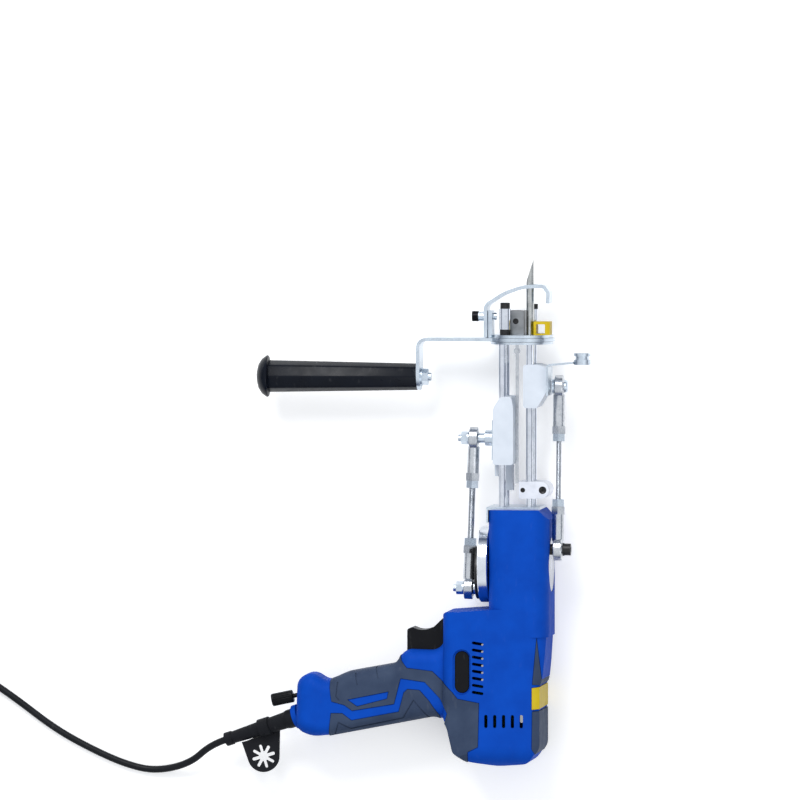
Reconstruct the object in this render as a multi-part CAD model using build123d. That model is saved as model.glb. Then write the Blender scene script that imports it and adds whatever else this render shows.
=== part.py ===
from build123d import *
import os
from math import acos, atan2, cos, degrees, hypot, pi, radians, sin, sqrt, tan

os.makedirs("parts", exist_ok=True)

# Handheld tufting machine, lying on its side. All sizes are in millimetres.
# While it is modelled, X = 0 is the barrel's centre line, Y = 0 the outer face of the
# top plate, with the needle towards +Y, and Z = 0 the plane where the two housing halves meet.

# Clearances
shaft_gap = 0.05
side_gap = 0.3
seam_gap = 0.4
cut_overrun = 5.0

# Housing
barrel_width = 43.2
barrel_depth = 60.0
barrel_round = 13.0
barrel_chamfer = 7.0
housing_length = 184.0
handle_reach = 180.2
handle_step = 11.0
handle_round_share = 0.05
wall = 2.4
bulge_step = 4.0
bulge_round = 8.0
slope_share = 2.0
bottom_round = 15.0
skin_rise = 0.6
skin_sink = 0.8
skin_seam = 0.35
groove_width = 0.8
handle_depth = barrel_depth - 2 * handle_step
handle_round = handle_round_share * handle_reach
bulge_depth = barrel_depth - 2 * bulge_step
barrel_right = barrel_width / 2
barrel_left = -barrel_width / 2
barrel_front = barrel_depth / 2
barrel_back = -barrel_depth / 2
handle_end = barrel_right - handle_reach

# Guide rods and the plates at the needle end
rod_radius = 2.5
rod_spread = 25.5
left_rods_x = -12.6
right_rods_x = 6.9
rod_socket_gap = 2.0
plate_height = 115.0
plate_radius = 22.2
lower_plate_thickness = 2.0
bracket_thickness = 2.4
upper_plate_thickness = 2.2
bracket_bottom = plate_height + lower_plate_thickness
upper_plate_bottom = bracket_bottom + bracket_thickness
deck = upper_plate_bottom + upper_plate_thickness

# Crankshaft
crank_down_share = 0.22554
crank_y = -crank_down_share * housing_length
crank_shaft_radius = 4.0
left_throw = 17.0
right_throw = 15.0
right_pin_turn = 41.7
pin_radius = 2.5
right_pin_y = crank_y + right_throw * cos(radians(right_pin_turn))
right_pin_z = right_throw * sin(radians(right_pin_turn))
left_pin_y = crank_y - left_throw

# Needle
needle_x = 5.8
needle_radius = 2.85
needle_bore = 2.0
needle_tip_y = 175.8

# Cord
cord_radius = 2.5
floor_z = barrel_back - skin_rise

# The housing's outlines: rows of a share of the reach from the handle's end and a share of the
# length from the top plate. The third is the corner's radius, as a share of the length for the
# body and of the reach for the handle.
body_shares = [
    (0.581, 0.407, 0.016), (1.000, 0.380, 0), (0.983, 0.600, 0.13), (0.976, 0.660, 0.016),
    (0.964, 0.690, 0.016), (0.964, 0.925, 0.049), (0.919, 0.990, 0.049), (0.800, 1.000, 0.196),
    (0.680, 0.982, 0.098), (0.625, 0.946, 0.026), (0.603, 0.854, 0.065), (0.581, 0.815, 0),
]
handle_shares = [
    (0.650, 0.470, 0), (0.581, 0.470, 0), (0.581, 0.556, 0.05), (0.422, 0.551, 0.053),
    (0.392, 0.611, 0.05), (0.192, 0.647, 0.14), (0.117, 0.680, 0.047), (0.052, 0.640, 0.053),
    (-0.003, 0.673, 0.053), (-0.010, 0.867, 0.052), (0.059, 0.893, 0.11), (0.131, 0.886, 0.166),
    (0.540, 0.809, 0.067), (0.585, 0.822, 0), (0.650, 0.822, 0),
]

# Top plate, folded over the left side of the barrel
top_plate_thickness = 2.0
top_plate_depth = 46.0
flange_disc_gap = 3.5
flange_thickness = 1.2
trigger_length = 26.6
trigger_top_share = 0.4761
trigger_top = trigger_top_share * housing_length
trigger_height = 17.0
trigger_nose = 1.4
trigger_lip = 3.6
trigger_rise = 9.0
finger_share = 0.4
heel_share = 0.3
trigger_width = handle_depth / 2
trigger_travel = 6.0

# Switch that the trigger presses
switch_length = 22.0
switch_share = 0.444
switch_gap = 2.0
switch_side = 0.5
switch_height = 14.0
switch_left = handle_end + switch_share * handle_reach
switch_top = -(trigger_top + trigger_height + trigger_travel + switch_gap)
switch_width = trigger_width - 2 * switch_side

# Rocker on the front of the body
rocker_share = 0.6598
rocker_down_share = 0.6348
rocker_x = handle_end + rocker_share * handle_reach
rocker_y = -rocker_down_share * housing_length
rocker_length = 29.0
rocker_width = 9.6
rocker_border = 1.7
rocker_well = 9.6
rocker_sink = 3.8
rocker_pin_drop = 1.8
rocker_floor = barrel_front - rocker_sink
rocker_pin_z = rocker_floor - rocker_pin_drop
rocker_pin_radius = 1.0
rocker_pin_length = 1.3
rocker_wall = 2.2
rocker_height = 4.8

# Vents
vent_share = 0.7236
vent_down_share = 0.5239
vent_x = handle_end + vent_share * handle_reach
vent_top = vent_down_share * housing_length
vent_step = 5.0
vent_count = 8
vent_length = 8.4
vent_width = 2.1
vent_slant = -9.0
low_vent_inset = -0.7
low_vent_left = barrel_left + low_vent_inset
low_vent_step = 6.3
low_vent_count = 5
low_vent_down_share = 0.8234
low_vent_y = -low_vent_down_share * housing_length
low_vent_length = 9.4
low_vent_width = 2.4
vent_wall = 6.0
vent_depth = barrel_front - vent_wall

# Control board in the foot of the body
board_width = 32.0
board_share = 0.6915
board_low_gap = 10.0
board_top_gap = 16.0
board_left = handle_end + board_share * handle_reach
board_right = board_left + board_width
board_low = -housing_length + board_low_gap
board_thickness = 1.6
board_z = -7.0
chip_height = 7.0
board_post_radius = 2.4

# Screw posts between the two halves: a share of the reach, a share of the length, and how much
# of the handle's step down from the barrel's back the post's end has
post_shares = [
    (0.095, 0.825, 1), (0.330, 0.690, 1), (0.330, 0.800, 1), (0.628, 0.470, 0.264),
    (0.650, 0.880, 0.196), (0.900, 0.925, 0),
]
post_radius = 3.6
screw_radius = 1.5
screw_head_radius = 2.8
screw_head_height = 2.2
screw_sink = 5.0
screw_length = 14.0

# Speed knob and the control it turns
knob_down_share = 0.737
knob_y = -knob_down_share * housing_length
knob_lean = 12.0
knob_radius = 4.5
knob_length = 15.6
knob_start = 3.2
knob_shaft_radius = 1.6
knob_flutes = 16
flute_radius = 0.5
control_radius = 7.0
control_length = 9.0

# Strain relief
relief_down_share = 0.8228
relief_y = -relief_down_share * housing_length
relief_turn = 198.5
relief_drop = 11.6
relief_length = 55.0
relief_root_radius = 6.8
relief_waist_radius = 6.0
relief_tip_radius = 4.3
relief_collar = 5.0
relief_slope = 3.0
relief_lip = 0.65
relief_plug_radius = 5.0
relief_plug_length = 6.0
relief_boss_radius = 8.6
relief_boss_depth = 3.6
knob_inset = 1.8
relief_seat = 3.4

# Grey skins moulded over the housing: rows of a share of reach and a share of length
grip_upper_shares = [
    (0.125, 0.560), (0.132, 0.712), (0.138, 0.754), (0.190, 0.768), (0.219, 0.789), (0.385, 0.762),
    (0.411, 0.663), (0.507, 0.676), (0.567, 0.738), (0.601, 0.796), (0.588, 0.834), (0.558, 1.048),
    (0.678, 1.048), (0.683, 0.942), (0.724, 0.922), (0.728, 0.754), (0.642, 0.739), (0.621, 0.714),
    (0.537, 0.636), (0.436, 0.624), (0.413, 0.596), (0.395, 0.540),
]
grip_lower_shares = [
    (0.118, 0.950), (0.136, 0.801), (0.180, 0.801), (0.217, 0.828), (0.405, 0.793), (0.425, 0.719),
    (0.439, 0.706), (0.486, 0.709), (0.522, 0.748), (0.564, 0.807), (0.562, 0.950),
]
window_shares = [(0.199, 0.747), (0.365, 0.714), (0.359, 0.743), (0.239, 0.774)]
triangle_shares = [(0.956, 0.508), (0.940, 0.680), (0.976, 0.683)]
bumper_shares = [(0.940, 0.785), (1.100, 0.775), (1.100, 0.965), (0.958, 0.960), (0.938, 0.930)]
tab_shares = [(0.938, 0.694), (1.100, 0.675), (1.100, 0.763), (0.938, 0.777)]

# Grooves in the grip: the line inside its lower half and three ticks in its upper half
groove_shares = [
    [(0.149, 0.882), (0.166, 0.836), (0.213, 0.859), (0.421, 0.816), (0.463, 0.748), (0.522, 0.815)],
    [(0.162, 0.680), (0.156, 0.735), (0.168, 0.750)], [(0.232, 0.645), (0.240, 0.690)],
    [(0.312, 0.622), (0.323, 0.664)],
]

# Gearbox frame inside the barrel
frame_side_gap = 2.6
frame_half_width = barrel_right - wall - frame_side_gap
frame_wall = 4.6
frame_depth_gap = 5.6
frame_top_gap = 1.4
frame_low_gap = 0.4
frame_depth = barrel_depth - 2 * (wall + frame_depth_gap)
bearing_outer = 8.0
bearing_width = frame_wall
motor_side_gap = 1.2
motor_length = 46.0
motor_wall = 1.6
rotor_gap = 2.2
motor_radius = frame_half_width - motor_side_gap
rotor_radius = motor_radius - motor_wall - rotor_gap
rotor_top_gap = 12.0
rotor_low_gap = 8.0
rotor_shaft_rise = 11.6
rotor_slots = 8
rotor_slot_width = 2.0
rotor_slot_depth = 3.6
boss_radius = 6.5

# Bevel gears that turn the crankshaft from the motor
gear_teeth = 36
pinion_teeth = 12
gear_pitch_share = 1.625
face_share = 0.3077
gear_pitch_radius = gear_pitch_share * (frame_half_width - frame_wall)
face_width = face_share * gear_pitch_radius
frame_top = crank_y + gear_pitch_radius + frame_top_gap + frame_wall
frame_bottom = crank_y - gear_pitch_radius - frame_low_gap - frame_wall
rod_socket = -frame_top - rod_socket_gap
motor_top = frame_bottom
motor_bottom = motor_top - motor_length
rotor_top = motor_top - rotor_top_gap
rotor_bottom = motor_bottom + rotor_low_gap
rotor_shaft_top = motor_top + rotor_shaft_rise
board_top = motor_bottom - board_top_gap
root_share = 1.2
tip_share = 0.9
tooth_fill_share = 0.40
tip_fill_share = 0.16
pinion_pitch_radius = gear_pitch_radius * pinion_teeth / gear_teeth
shaft_share = 0.3846
rotor_shaft_radius = shaft_share * pinion_pitch_radius
cone_length = hypot(gear_pitch_radius, pinion_pitch_radius)
module = 2 * gear_pitch_radius / gear_teeth

# Crank discs and their pins
left_disc_radius = 27.0
left_disc_gap = 0.4
top_plate_flange = -crank_y - left_disc_radius - flange_disc_gap
left_disc_thickness = 7.2
left_disc_recess = 1.2
stroke_plate_radius = 18.8
stroke_plate_offset = 5.9
stroke_plate_thickness = 2.8
right_disc_radius = 19.0
right_disc_thickness = 4.0
right_disc_face = barrel_right - side_gap
left_disc_face = barrel_left - left_disc_gap - left_disc_thickness
stroke_face = left_disc_face - stroke_plate_thickness

# Rod ends
ring_radius = 8.0
ring_width = 6.0
ball_radius = 5.6
ball_width = 7.0
shank_radius = 4.3
rod_hex = 9.0
rod_hex_length = 5.4
shank_length = 24.8
long_shank_length = 28.4
rod_thread_radius = 2.5
right_thread_radius = 2.0
lock_nut_length = 5.2
lock_nut_hex = 8.0
left_collar_length = 2.3
left_low_x = stroke_face - left_collar_length - ball_width / 2
left_high_x = -34.2
left_high_y = 48.0
right_collar_length = 2.0
right_rod_x = right_disc_face + right_collar_length + ball_width / 2
right_high_y = 85.0
washer_thickness = 1.0
washer_radius = 4.6
left_lean = -degrees(atan2(left_high_x - left_low_x, left_high_y - left_pin_y))
left_rod_length = hypot(left_high_x - left_low_x, left_high_y - left_pin_y)
right_tilt = degrees(atan2(-right_pin_z, right_high_y - right_pin_y))
right_rod_length = hypot(right_pin_z, right_high_y - right_pin_y)

# Pins, studs, nuts and heads
left_pin_nut = 4.4
left_pin_end = 2.2
left_collar_radius = 4.6
right_collar_radius = 3.9
head_radius = 4.25
head_height = 4.7
socket_across = 4.0
socket_depth = 2.4
left_stud_tip = -26.2
right_hub_gap = 0.9
right_hub_radius = 5.3
button_radius = 3.4
button_height = 2.4

# Scissor carriage on the left pair of rods
left_slider_left = -18.9
left_slider_right = -4.5
left_slider_low = 29.6
left_slider_top = 78.0
left_slider_depth = 33.0
neck_height = 8.0
neck_left_step = 5.6
neck_right_step = 1.4
slider_chamfer = 2.0
extension_low = 11.0
extension_width = 5.8
extension_depth = 9.0
dark_end_height = 8.6
dark_end_width = 2.4
side_plate_thickness = 1.3
side_plate_low = 33.0
side_plate_top = 61.0
side_plate_depth = 24.0
boss_radius_slider = 5.6
boss_tip = -25.9
bar_width = 2.3
bar_depth = 1.3
bar_low = 16.0
jaw_pivot_y = 110.0
jaw_rivet_radius = 2.4
jaw_rivet_height = 1.2
blade_top = 128.0
blade_point = 5.0
jaw_gap = 0.2
jaw_tail = 4.0

# Needle carriage on the right pair of rods
right_slider_left = 2.7
right_slider_waist = 12.4
right_slider_inset = 2.0
right_slider_right = barrel_right - right_slider_inset
right_slider_low = 70.0
right_slider_top = 100.8
right_slider_depth = 33.0
needle_shoulder = 12.0
needle_bevel = 17.8
needle_channel = 2.6
eye_leg_thickness = 1.4
right_hub_start = right_slider_right + eye_leg_thickness + right_hub_gap
eye_leg_low = 79.0
eye_leg_depth = 22.0
eye_arm_low_z = 14.2
eye_arm_width = 8.0
eye_arm_y = 102.0
eye_x = 45.0
eye_y = 104.6
eye_radius = 6.0
eye_hole = 3.4
eye_ring_height = 2.2
eye_ring_step = 3.2

# Plates
slot_left = -7.4
slot_right = -0.4
slot_depth = 8.4
needle_hole = 3.4
bracket_disc_radius = 23.4
bracket_reach = -74.3
bracket_width = 25.0
bracket_bend = 6.0
bracket_low = 82.0
bracket_leg_thickness = 2.4
foot_lug_left = -23.4
foot_lug_right = -20.4
foot_lug_top = 138.6
foot_lug_depth = 14.0
foot_screw_y = 134.5

# Side grip
grip_y = 91.3
grip_neck_radius = 9.7
grip_end_radius = 11.6
grip_length = 106.4
flange_radius = 14.9
flange_width = 8.3
flange_dome = 2.4
grip_bolt_radius = 3.0
grip_bolt_depth = 30.0
grip_nut_hex = 10.0
grip_nut_length = 4.2
grip_washer_radius = 6.5
grip_bolt_end = 2.0

# Clamp block on the right rods, close to the housing
clamp_left = -0.6
clamp_inset = 0.6
clamp_right = barrel_right - clamp_inset
clamp_low = 5.8
clamp_top = 17.9
clamp_depth = 31.0
clamp_hole_inset = 4.6
clamp_hole_x = clamp_right - clamp_hole_inset
clamp_hole_radius = 2.7
clamp_screw_x = 2.3
clamp_screw_radius = 1.7

# Pieces on the deck
guide_left = -9.6
guide_right = 2.2
guide_top = 138.8
guide_depth = 16.0
guide_screw_x = -3.6
guide_screw_y = 131.2
guide_screw_radius = 2.1
guide_screw_depth = 3.0
left_pillar_x = -10.6
left_pillar_z = 12.6
left_pillar_radius = 4.0
left_pillar_foot = 4.0
left_pillar_top = 140.3
left_pillar_head = 4.2
right_pillar_x = 7.8
right_pillar_z = -11.0
right_pillar_radius = 2.1
right_pillar_top = 139.4
right_pillar_head = 3.6
yellow_left = 9.4
yellow_right = 21.0
yellow_top = 131.0
yellow_back = -4.0
yellow_front = 10.0
yellow_wall = 1.8
right_rods_bore_front = 6.0

# Presser foot
foot_thickness = 2.5
foot_width = 20.0
foot_leg_x = -25.0
foot_leg_low = 119.8
foot_slot_left = -7.6
foot_slot_right = 11.0
foot_slot_width = 9.2
foot_travel = 8.0
foot_screw_radius = 2.0
foot_slot_gap = 0.4
foot_points = [(-25.0, 119.8), (-25.0, 142.5), (-12.0, 150.8), (2.0, 155.9), (16.5, 156.0), (19.6, 151.5),
               (19.2, 144.0)]
foot_bends = [6.0, 40.0, 40.0, 3.0, 3.0]

# Clamp screw of the presser foot
foot_head_right = -30.6
foot_head_length = 4.8
foot_head_radius = 3.7
foot_sleeve_radius = 3.3
foot_tail_length = 2.1
foot_tail_radius = 2.6

# Rubber key holder that hangs on the strain relief
holder_start = 20.0
holder_band = 8.0
holder_wall = 1.0
tab_thickness = 3.0
tab_radius = 11.3
tab_ahead = 27.3
tab_drop = 28.6
tab_top = -6.6
tab_x = handle_end - tab_ahead
tab_y = relief_y - tab_drop
star_arms = 4
star_length = 17.0
star_width = 2.3
star_core = 3.5
star_turn = 17.0

# Where the tab widens towards the sleeve: shares of its radius from its centre
neck_shares = [(1.0, 0), (1.04, 1.83), (-1.44, 1.06), (-0.94, -0.35)]

# Cord from the strain relief over the table to a neat coil: each point's distance from the
# sleeve's tip along X and Y, and its share of the way down to the table. The points are chosen
# by hand.
cord_route = [
    (0, 0, 0), (-11.6, -3.9, 0.148), (-27.5, -18.1, 0.645), (-53.0, -24.2, 1), (-74.6, -19.6, 1),
    (-100.6, -8.2, 1), (-126.5, 6.0, 1), (-153.8, 26.7, 1), (-178.7, 43.5, 0.98), (-203.4, 58.7, 0.941),
]
cord_lift = 0.1
coil_radius = 28.5
coil_step = 2.8
coil_layer = 5.6
coil_loops = 3
coil_layers = 4
tail_radius = 30.0
tail_end_gap = 0.1
near_length = 62.0
socket_radius = 4.8
socket_length = 34.0
socket_tail = 12.0
socket_tail_radius = 3.4
socket_bore_radius = 2.8
socket_bore_depth = 9.5
tie_thickness = 0.5
tie_width = 9.0
tie_gap = 0.3
tie_bow = 1.6
coil_samples = 12


def block(x0, x1, y0, y1, z0, z1):
    """A box between two corners."""
    size = Box(x1 - x0, y1 - y0, z1 - z0)
    return Pos((x0 + x1) / 2, (y0 + y1) / 2, (z0 + z1) / 2) * size


def round_x(x0, x1, y, z, radius):
    """A round bar along X."""
    return Pos((x0 + x1) / 2, y, z) * Rot(0, 90, 0) * Cylinder(radius, x1 - x0)


def round_y(y0, y1, x, z, radius):
    """A round bar along Y."""
    return Pos(x, (y0 + y1) / 2, z) * Rot(90, 0, 0) * Cylinder(radius, y1 - y0)


def round_z(z0, z1, x, y, radius):
    """A round bar along Z."""
    return Pos(x, y, (z0 + z1) / 2) * Cylinder(radius, z1 - z0)


def hexagon_bar(length, across_flats):
    """A hexagonal bar along Z, its middle at the origin, with two flats facing X."""
    corner_radius = across_flats / sqrt(3)
    return extrude(RegularPolygon(corner_radius, 6, rotation=30), length / 2, both=True)


def hexagon_x(x0, x1, y, z, across_flats):
    return Pos((x0 + x1) / 2, y, z) * Rot(0, 90, 0) * hexagon_bar(x1 - x0, across_flats)


def ring_x(x0, x1, y, z, outer, inner):
    """A ring whose axis runs along X."""
    hole = round_x(x0 - cut_overrun, x1 + cut_overrun, y, z, inner)
    return round_x(x0, x1, y, z, outer) - hole


def ring_y(y0, y1, x, z, outer, inner):
    hole = round_y(y0 - cut_overrun, y1 + cut_overrun, x, z, inner)
    return round_y(y0, y1, x, z, outer) - hole


def housing_spot(along, down):
    return (handle_end + along * handle_reach, -down * housing_length)


def housing_outline(table, scale, inset):
    """A closed outline from a table of shares, moved inwards by the inset."""
    points = [housing_spot(along, down) for along, down, corner in table]
    radii = [corner * scale for along, down, corner in table]
    face = make_face(FilletPolyline(*points, radius=radii, close=True))
    if inset == 0:
        return face
    return offset(face, amount=-inset, kind=Kind.INTERSECTION)


def upper_barrel(inset):
    """The slim part of the barrel, a rounded bar whose top corner is cut off slantwise."""
    top = -top_plate_thickness - inset
    bottom = -housing_length / 2
    section = RectangleRounded(barrel_width - 2 * inset, barrel_depth - 2 * inset, barrel_round - inset)
    bar = Pos(0, top, 0) * Rot(90, 0, 0) * extrude(section, top - bottom)
    corner = Polyline(
        (barrel_right - barrel_chamfer - inset, top), (barrel_right + cut_overrun, top),
        (barrel_right + cut_overrun, top - barrel_chamfer - cut_overrun), close=True)
    return bar - extrude(make_face(corner), barrel_depth, both=True)


def lower_body(inset):
    """The wide part round the controls: its plan, cross-section and side view, all rounded."""
    front = barrel_front - inset
    side = bulge_depth / 2 - inset
    left = handle_end + body_shares[0][0] * handle_reach + inset
    right = barrel_right - inset
    shoulder = barrel_left - bulge_round
    plan = extrude(housing_outline(body_shares, housing_length, inset), barrel_depth, both=True)
    section_points = [(right, front), (shoulder, front), (left, side), (left, -side), (shoulder, -front),
                      (right, -front)]
    slope_round = (shoulder - left) * slope_share
    section_radii = [bottom_round, slope_round, bulge_round, bulge_round, slope_round, bottom_round]
    section = make_face(FilletPolyline(*section_points, radius=section_radii, close=True))
    across = Rot(90, 0, 0) * extrude(section, housing_length * 2, both=True)
    end = housing_length - inset
    profile = RectangleRounded(2 * end, 2 * front, bottom_round - inset)
    along = Rot(0, 90, 0) * Rot(0, 0, 90) * extrude(profile, handle_reach, both=True)
    return plan & (across & along)


def handle_bar(inset):
    """The handle, whose long edges are rounded all the way round the palm."""
    solid = extrude(housing_outline(handle_shares, handle_reach, inset), handle_depth / 2 - inset, both=True)
    body_left = handle_end + body_shares[0][0] * handle_reach
    rims = [edge for edge in solid.edges().filter_by(Plane.XY)
            if edge.center().X < body_left - side_gap and abs(edge.center().Z) > side_gap]
    return fillet(rims, handle_round - inset)


def trigger_outline():
    """The trigger seen from the front, with the hollow for the finger on top."""
    right = handle_end + body_shares[0][0] * handle_reach - side_gap
    left = right - trigger_length
    peak = -trigger_top
    low = peak - trigger_height
    points = [(left, low), (left, peak), (left + trigger_lip, peak + trigger_nose),
              (left + trigger_length * finger_share, peak - trigger_nose),
              (right - trigger_length * heel_share, peak + trigger_nose), (right, peak + trigger_rise),
              (right, low)]
    radii = [0, trigger_nose, trigger_nose, trigger_length / 2, trigger_length / 4, 0, 0]
    return make_face(FilletPolyline(*points, radius=radii, close=True))


def knob_place():
    return Pos(handle_end - knob_inset, knob_y, 0) * Rot(0, 0, knob_lean) * Rot(0, -90, 0)


def relief_place():
    return (Pos(handle_end - relief_seat, relief_y, 0) * Rot(0, 0, relief_turn)
            * Rot(0, 90 + relief_drop, 0))


def vents():
    """Slots through both sides of the housing."""
    cuts = []
    for row in range(vent_count):
        slot = extrude(SlotOverall(vent_length, vent_width, rotation=vent_slant), barrel_depth, both=True)
        cuts.append(Pos(vent_x, -vent_top - row * vent_step, 0) * slot)
    for column in range(low_vent_count):
        slot = extrude(SlotOverall(low_vent_length, low_vent_width, rotation=90), barrel_depth, both=True)
        cuts.append(Pos(low_vent_left + column * low_vent_step, low_vent_y, 0) * slot)
    core = block(handle_end, barrel_right, -housing_length, 0, -vent_depth, vent_depth)
    return [cut - core for cut in cuts]


def housing_halves(beds):
    """Front and back shell, cut apart at Z = 0, with their screw posts."""
    outer = lower_body(0) + upper_barrel(0) + handle_bar(0)
    cavity = lower_body(wall) + upper_barrel(wall) + handle_bar(wall)
    shell = outer - cavity
    for along, down, step_share in post_shares:
        x, y = housing_spot(along, down)
        face = barrel_front - step_share * handle_step
        shell += round_z(-barrel_depth, barrel_depth, x, y, post_radius) & outer
        shell -= round_z(-barrel_depth, screw_length - screw_sink, x, y, screw_radius + shaft_gap)
        shell -= round_z(-barrel_depth, screw_sink - face, x, y, screw_head_radius + shaft_gap)
    for x in (board_left + board_post_radius, board_right - board_post_radius):
        for y in (board_low + board_post_radius, board_top - board_post_radius):
            shell += round_z(-barrel_depth, board_z, x, y, board_post_radius) & outer
    low, high = switch_top - switch_height, switch_top
    ribs = block(switch_left, switch_left + switch_length / 2, low, high, wall / 2 - handle_depth / 2,
                 handle_depth / 2 - wall / 2)
    half = switch_width / 2
    ribs -= block(switch_left - wall, switch_left + switch_length, low - wall, high + wall, -half, half)
    shell += ribs
    well = SlotOverall(rocker_length + rocker_wall * 2, rocker_width + rocker_wall * 2, rotation=90)
    shell += Pos(rocker_x, rocker_y, rocker_floor - rocker_well) * extrude(well, rocker_well)
    for cut in beds + vents():
        shell -= cut
    pocket = offset(trigger_outline(), amount=seam_gap)
    sweep = Pos(0, -trigger_travel, 0) * pocket
    half = trigger_width / 2 + seam_gap
    shell -= extrude(pocket + sweep, half, both=True)
    recess = SlotOverall(rocker_length + 2 * rocker_border, rocker_width + 2 * rocker_border, rotation=90)
    deep = SlotOverall(rocker_length + seam_gap * 2, rocker_width + seam_gap * 2, rotation=90)
    shell -= Pos(rocker_x, rocker_y, rocker_floor) * extrude(recess, rocker_well)
    shell -= Pos(rocker_x, rocker_y, rocker_floor - rocker_well + wall) * extrude(deep, rocker_well * 2)
    pin = rocker_pin_radius + shaft_gap
    half = rocker_width / 2 + rocker_pin_length
    shell -= round_x(rocker_x - half, rocker_x + half, rocker_y, rocker_pin_z, pin)
    shell -= round_x(barrel_left - cut_overrun, 0, crank_y, 0, crank_shaft_radius + side_gap)
    shell -= round_x(right_disc_face - right_disc_thickness - side_gap, barrel_right + cut_overrun,
                     crank_y, 0, right_disc_radius + seam_gap)
    for x in (left_rods_x, right_rods_x):
        for z in (-rod_spread / 2, rod_spread / 2):
            shell -= round_y(-rod_socket, 0, x, z, rod_radius + shaft_gap)
    boss = Pos(0, 0, -relief_boss_depth / 2) * Cylinder(relief_boss_radius, relief_boss_depth)
    shell += relief_place() * boss
    shell -= knob_place() * Cylinder(knob_shaft_radius + shaft_gap, relief_length)
    shell -= relief_place() * Cylinder(relief_plug_radius + shaft_gap, relief_plug_length * 2)
    flange = Pos(0, 0, relief_collar / 2) * Cylinder(relief_root_radius + shaft_gap, relief_collar)
    shell -= relief_place() * flange
    reach = handle_reach * 2
    front = shell & block(-reach, reach, -reach, reach, 0, barrel_depth)
    back = shell & block(-reach, reach, -reach, reach, -barrel_depth, 0)
    return front, back


def region(table, grown):
    """A prism over a table's outline, grown outwards all round."""
    points = [housing_spot(along, down) for along, down in table]
    face = make_face(Polyline(*points, close=True))
    if grown != 0:
        face = offset(face, amount=grown, kind=Kind.INTERSECTION)
    return extrude(face, barrel_depth, both=True)


def grip_region(grown):
    whole = region(grip_upper_shares, grown) - region(window_shares, -grown)
    return whole + region(grip_lower_shares, grown)


def skin_beds(body_surface, bed_surface):
    """The shallow beds in the housing for all its skins, with a narrow seam round each."""
    areas = [grip_region(skin_seam)]
    for table in (bumper_shares, tab_shares, triangle_shares):
        areas.append(region(table, skin_seam))
    return [(body_surface & area) - bed_surface for area in areas]


def skins(body_surface, bed_surface):
    """The grip's two halves, the bumper, the bright tab and the two pointed inlays."""
    outer = lower_body(-skin_rise) + handle_bar(-skin_rise)
    grip = (outer & grip_region(0)) - bed_surface
    for table in groove_shares:
        points = [housing_spot(along, down) for along, down in table]
        line = extrude(trace(Polyline(*points), groove_width), barrel_depth, both=True)
        grip -= line - body_surface
    reach = handle_reach * 2
    front = grip & block(-reach, reach, -reach, reach, 0, barrel_depth)
    back = grip & block(-reach, reach, -reach, reach, -barrel_depth, 0)
    for along, down, step_share in post_shares:
        x, y = housing_spot(along, down)
        back -= round_z(-barrel_depth, 0, x, y, screw_head_radius + shaft_gap)
    bumper = (outer & region(bumper_shares, 0)) - bed_surface
    tab = (outer & region(tab_shares, 0)) - bed_surface
    inlays = (lower_body(-skin_rise / 2) & region(triangle_shares, 0)) - bed_surface
    return front, back, bumper, tab, inlays


def top_plate():
    right = barrel_right - barrel_chamfer
    half = top_plate_depth / 2
    plate = block(barrel_left - flange_thickness, right, -top_plate_thickness, 0, -half, half)
    plate += block(barrel_left - flange_thickness, barrel_left, -top_plate_flange, 0, -half, half)
    for x in (left_rods_x, right_rods_x):
        for z in (-rod_spread / 2, rod_spread / 2):
            plate -= round_y(-rod_socket, cut_overrun, x, z, rod_radius + shaft_gap)
    return plate


def gearbox_frame():
    half = frame_depth / 2
    frame = block(-frame_half_width, frame_half_width, frame_bottom, frame_top, -half, half)
    inner = frame_half_width - frame_wall
    frame -= block(-inner, inner, frame_bottom + frame_wall, frame_top - frame_wall, -half - cut_overrun,
                   half + cut_overrun)
    frame -= round_x(-barrel_width, barrel_width, crank_y, 0, bearing_outer)
    frame -= round_y(frame_bottom - cut_overrun, frame_bottom + frame_wall + cut_overrun, 0, 0, boss_radius)
    return frame


def shaft_bearings():
    pair = []
    for side in (-1, 1):
        inner = side * (frame_half_width - frame_wall)
        outer = inner + side * bearing_width
        low, high = min(inner, outer), max(inner, outer)
        pair.append(ring_x(low, high, crank_y, 0, bearing_outer, crank_shaft_radius + shaft_gap))
    return pair


def motor_can():
    can = round_y(motor_bottom, motor_top, 0, 0, motor_radius)
    can += round_y(motor_top, frame_bottom + frame_wall / 2, 0, 0, boss_radius)
    can -= round_y(motor_bottom + motor_wall, motor_top - motor_wall, 0, 0, motor_radius - motor_wall)
    can -= round_y(motor_bottom - cut_overrun, 0, 0, 0, rotor_shaft_radius + shaft_gap)
    return can


def rotor():
    core = round_y(rotor_bottom, rotor_top, 0, 0, rotor_radius)
    for slot in range(rotor_slots):
        cut = block(-rotor_slot_width / 2, rotor_slot_width / 2, rotor_bottom - cut_overrun,
                    rotor_top + cut_overrun, rotor_radius - rotor_slot_depth, rotor_radius + cut_overrun)
        core -= Rot(0, slot * 360 / rotor_slots, 0) * cut
    return core + round_y(motor_bottom - motor_wall, rotor_shaft_top, 0, 0, rotor_shaft_radius)


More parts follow.
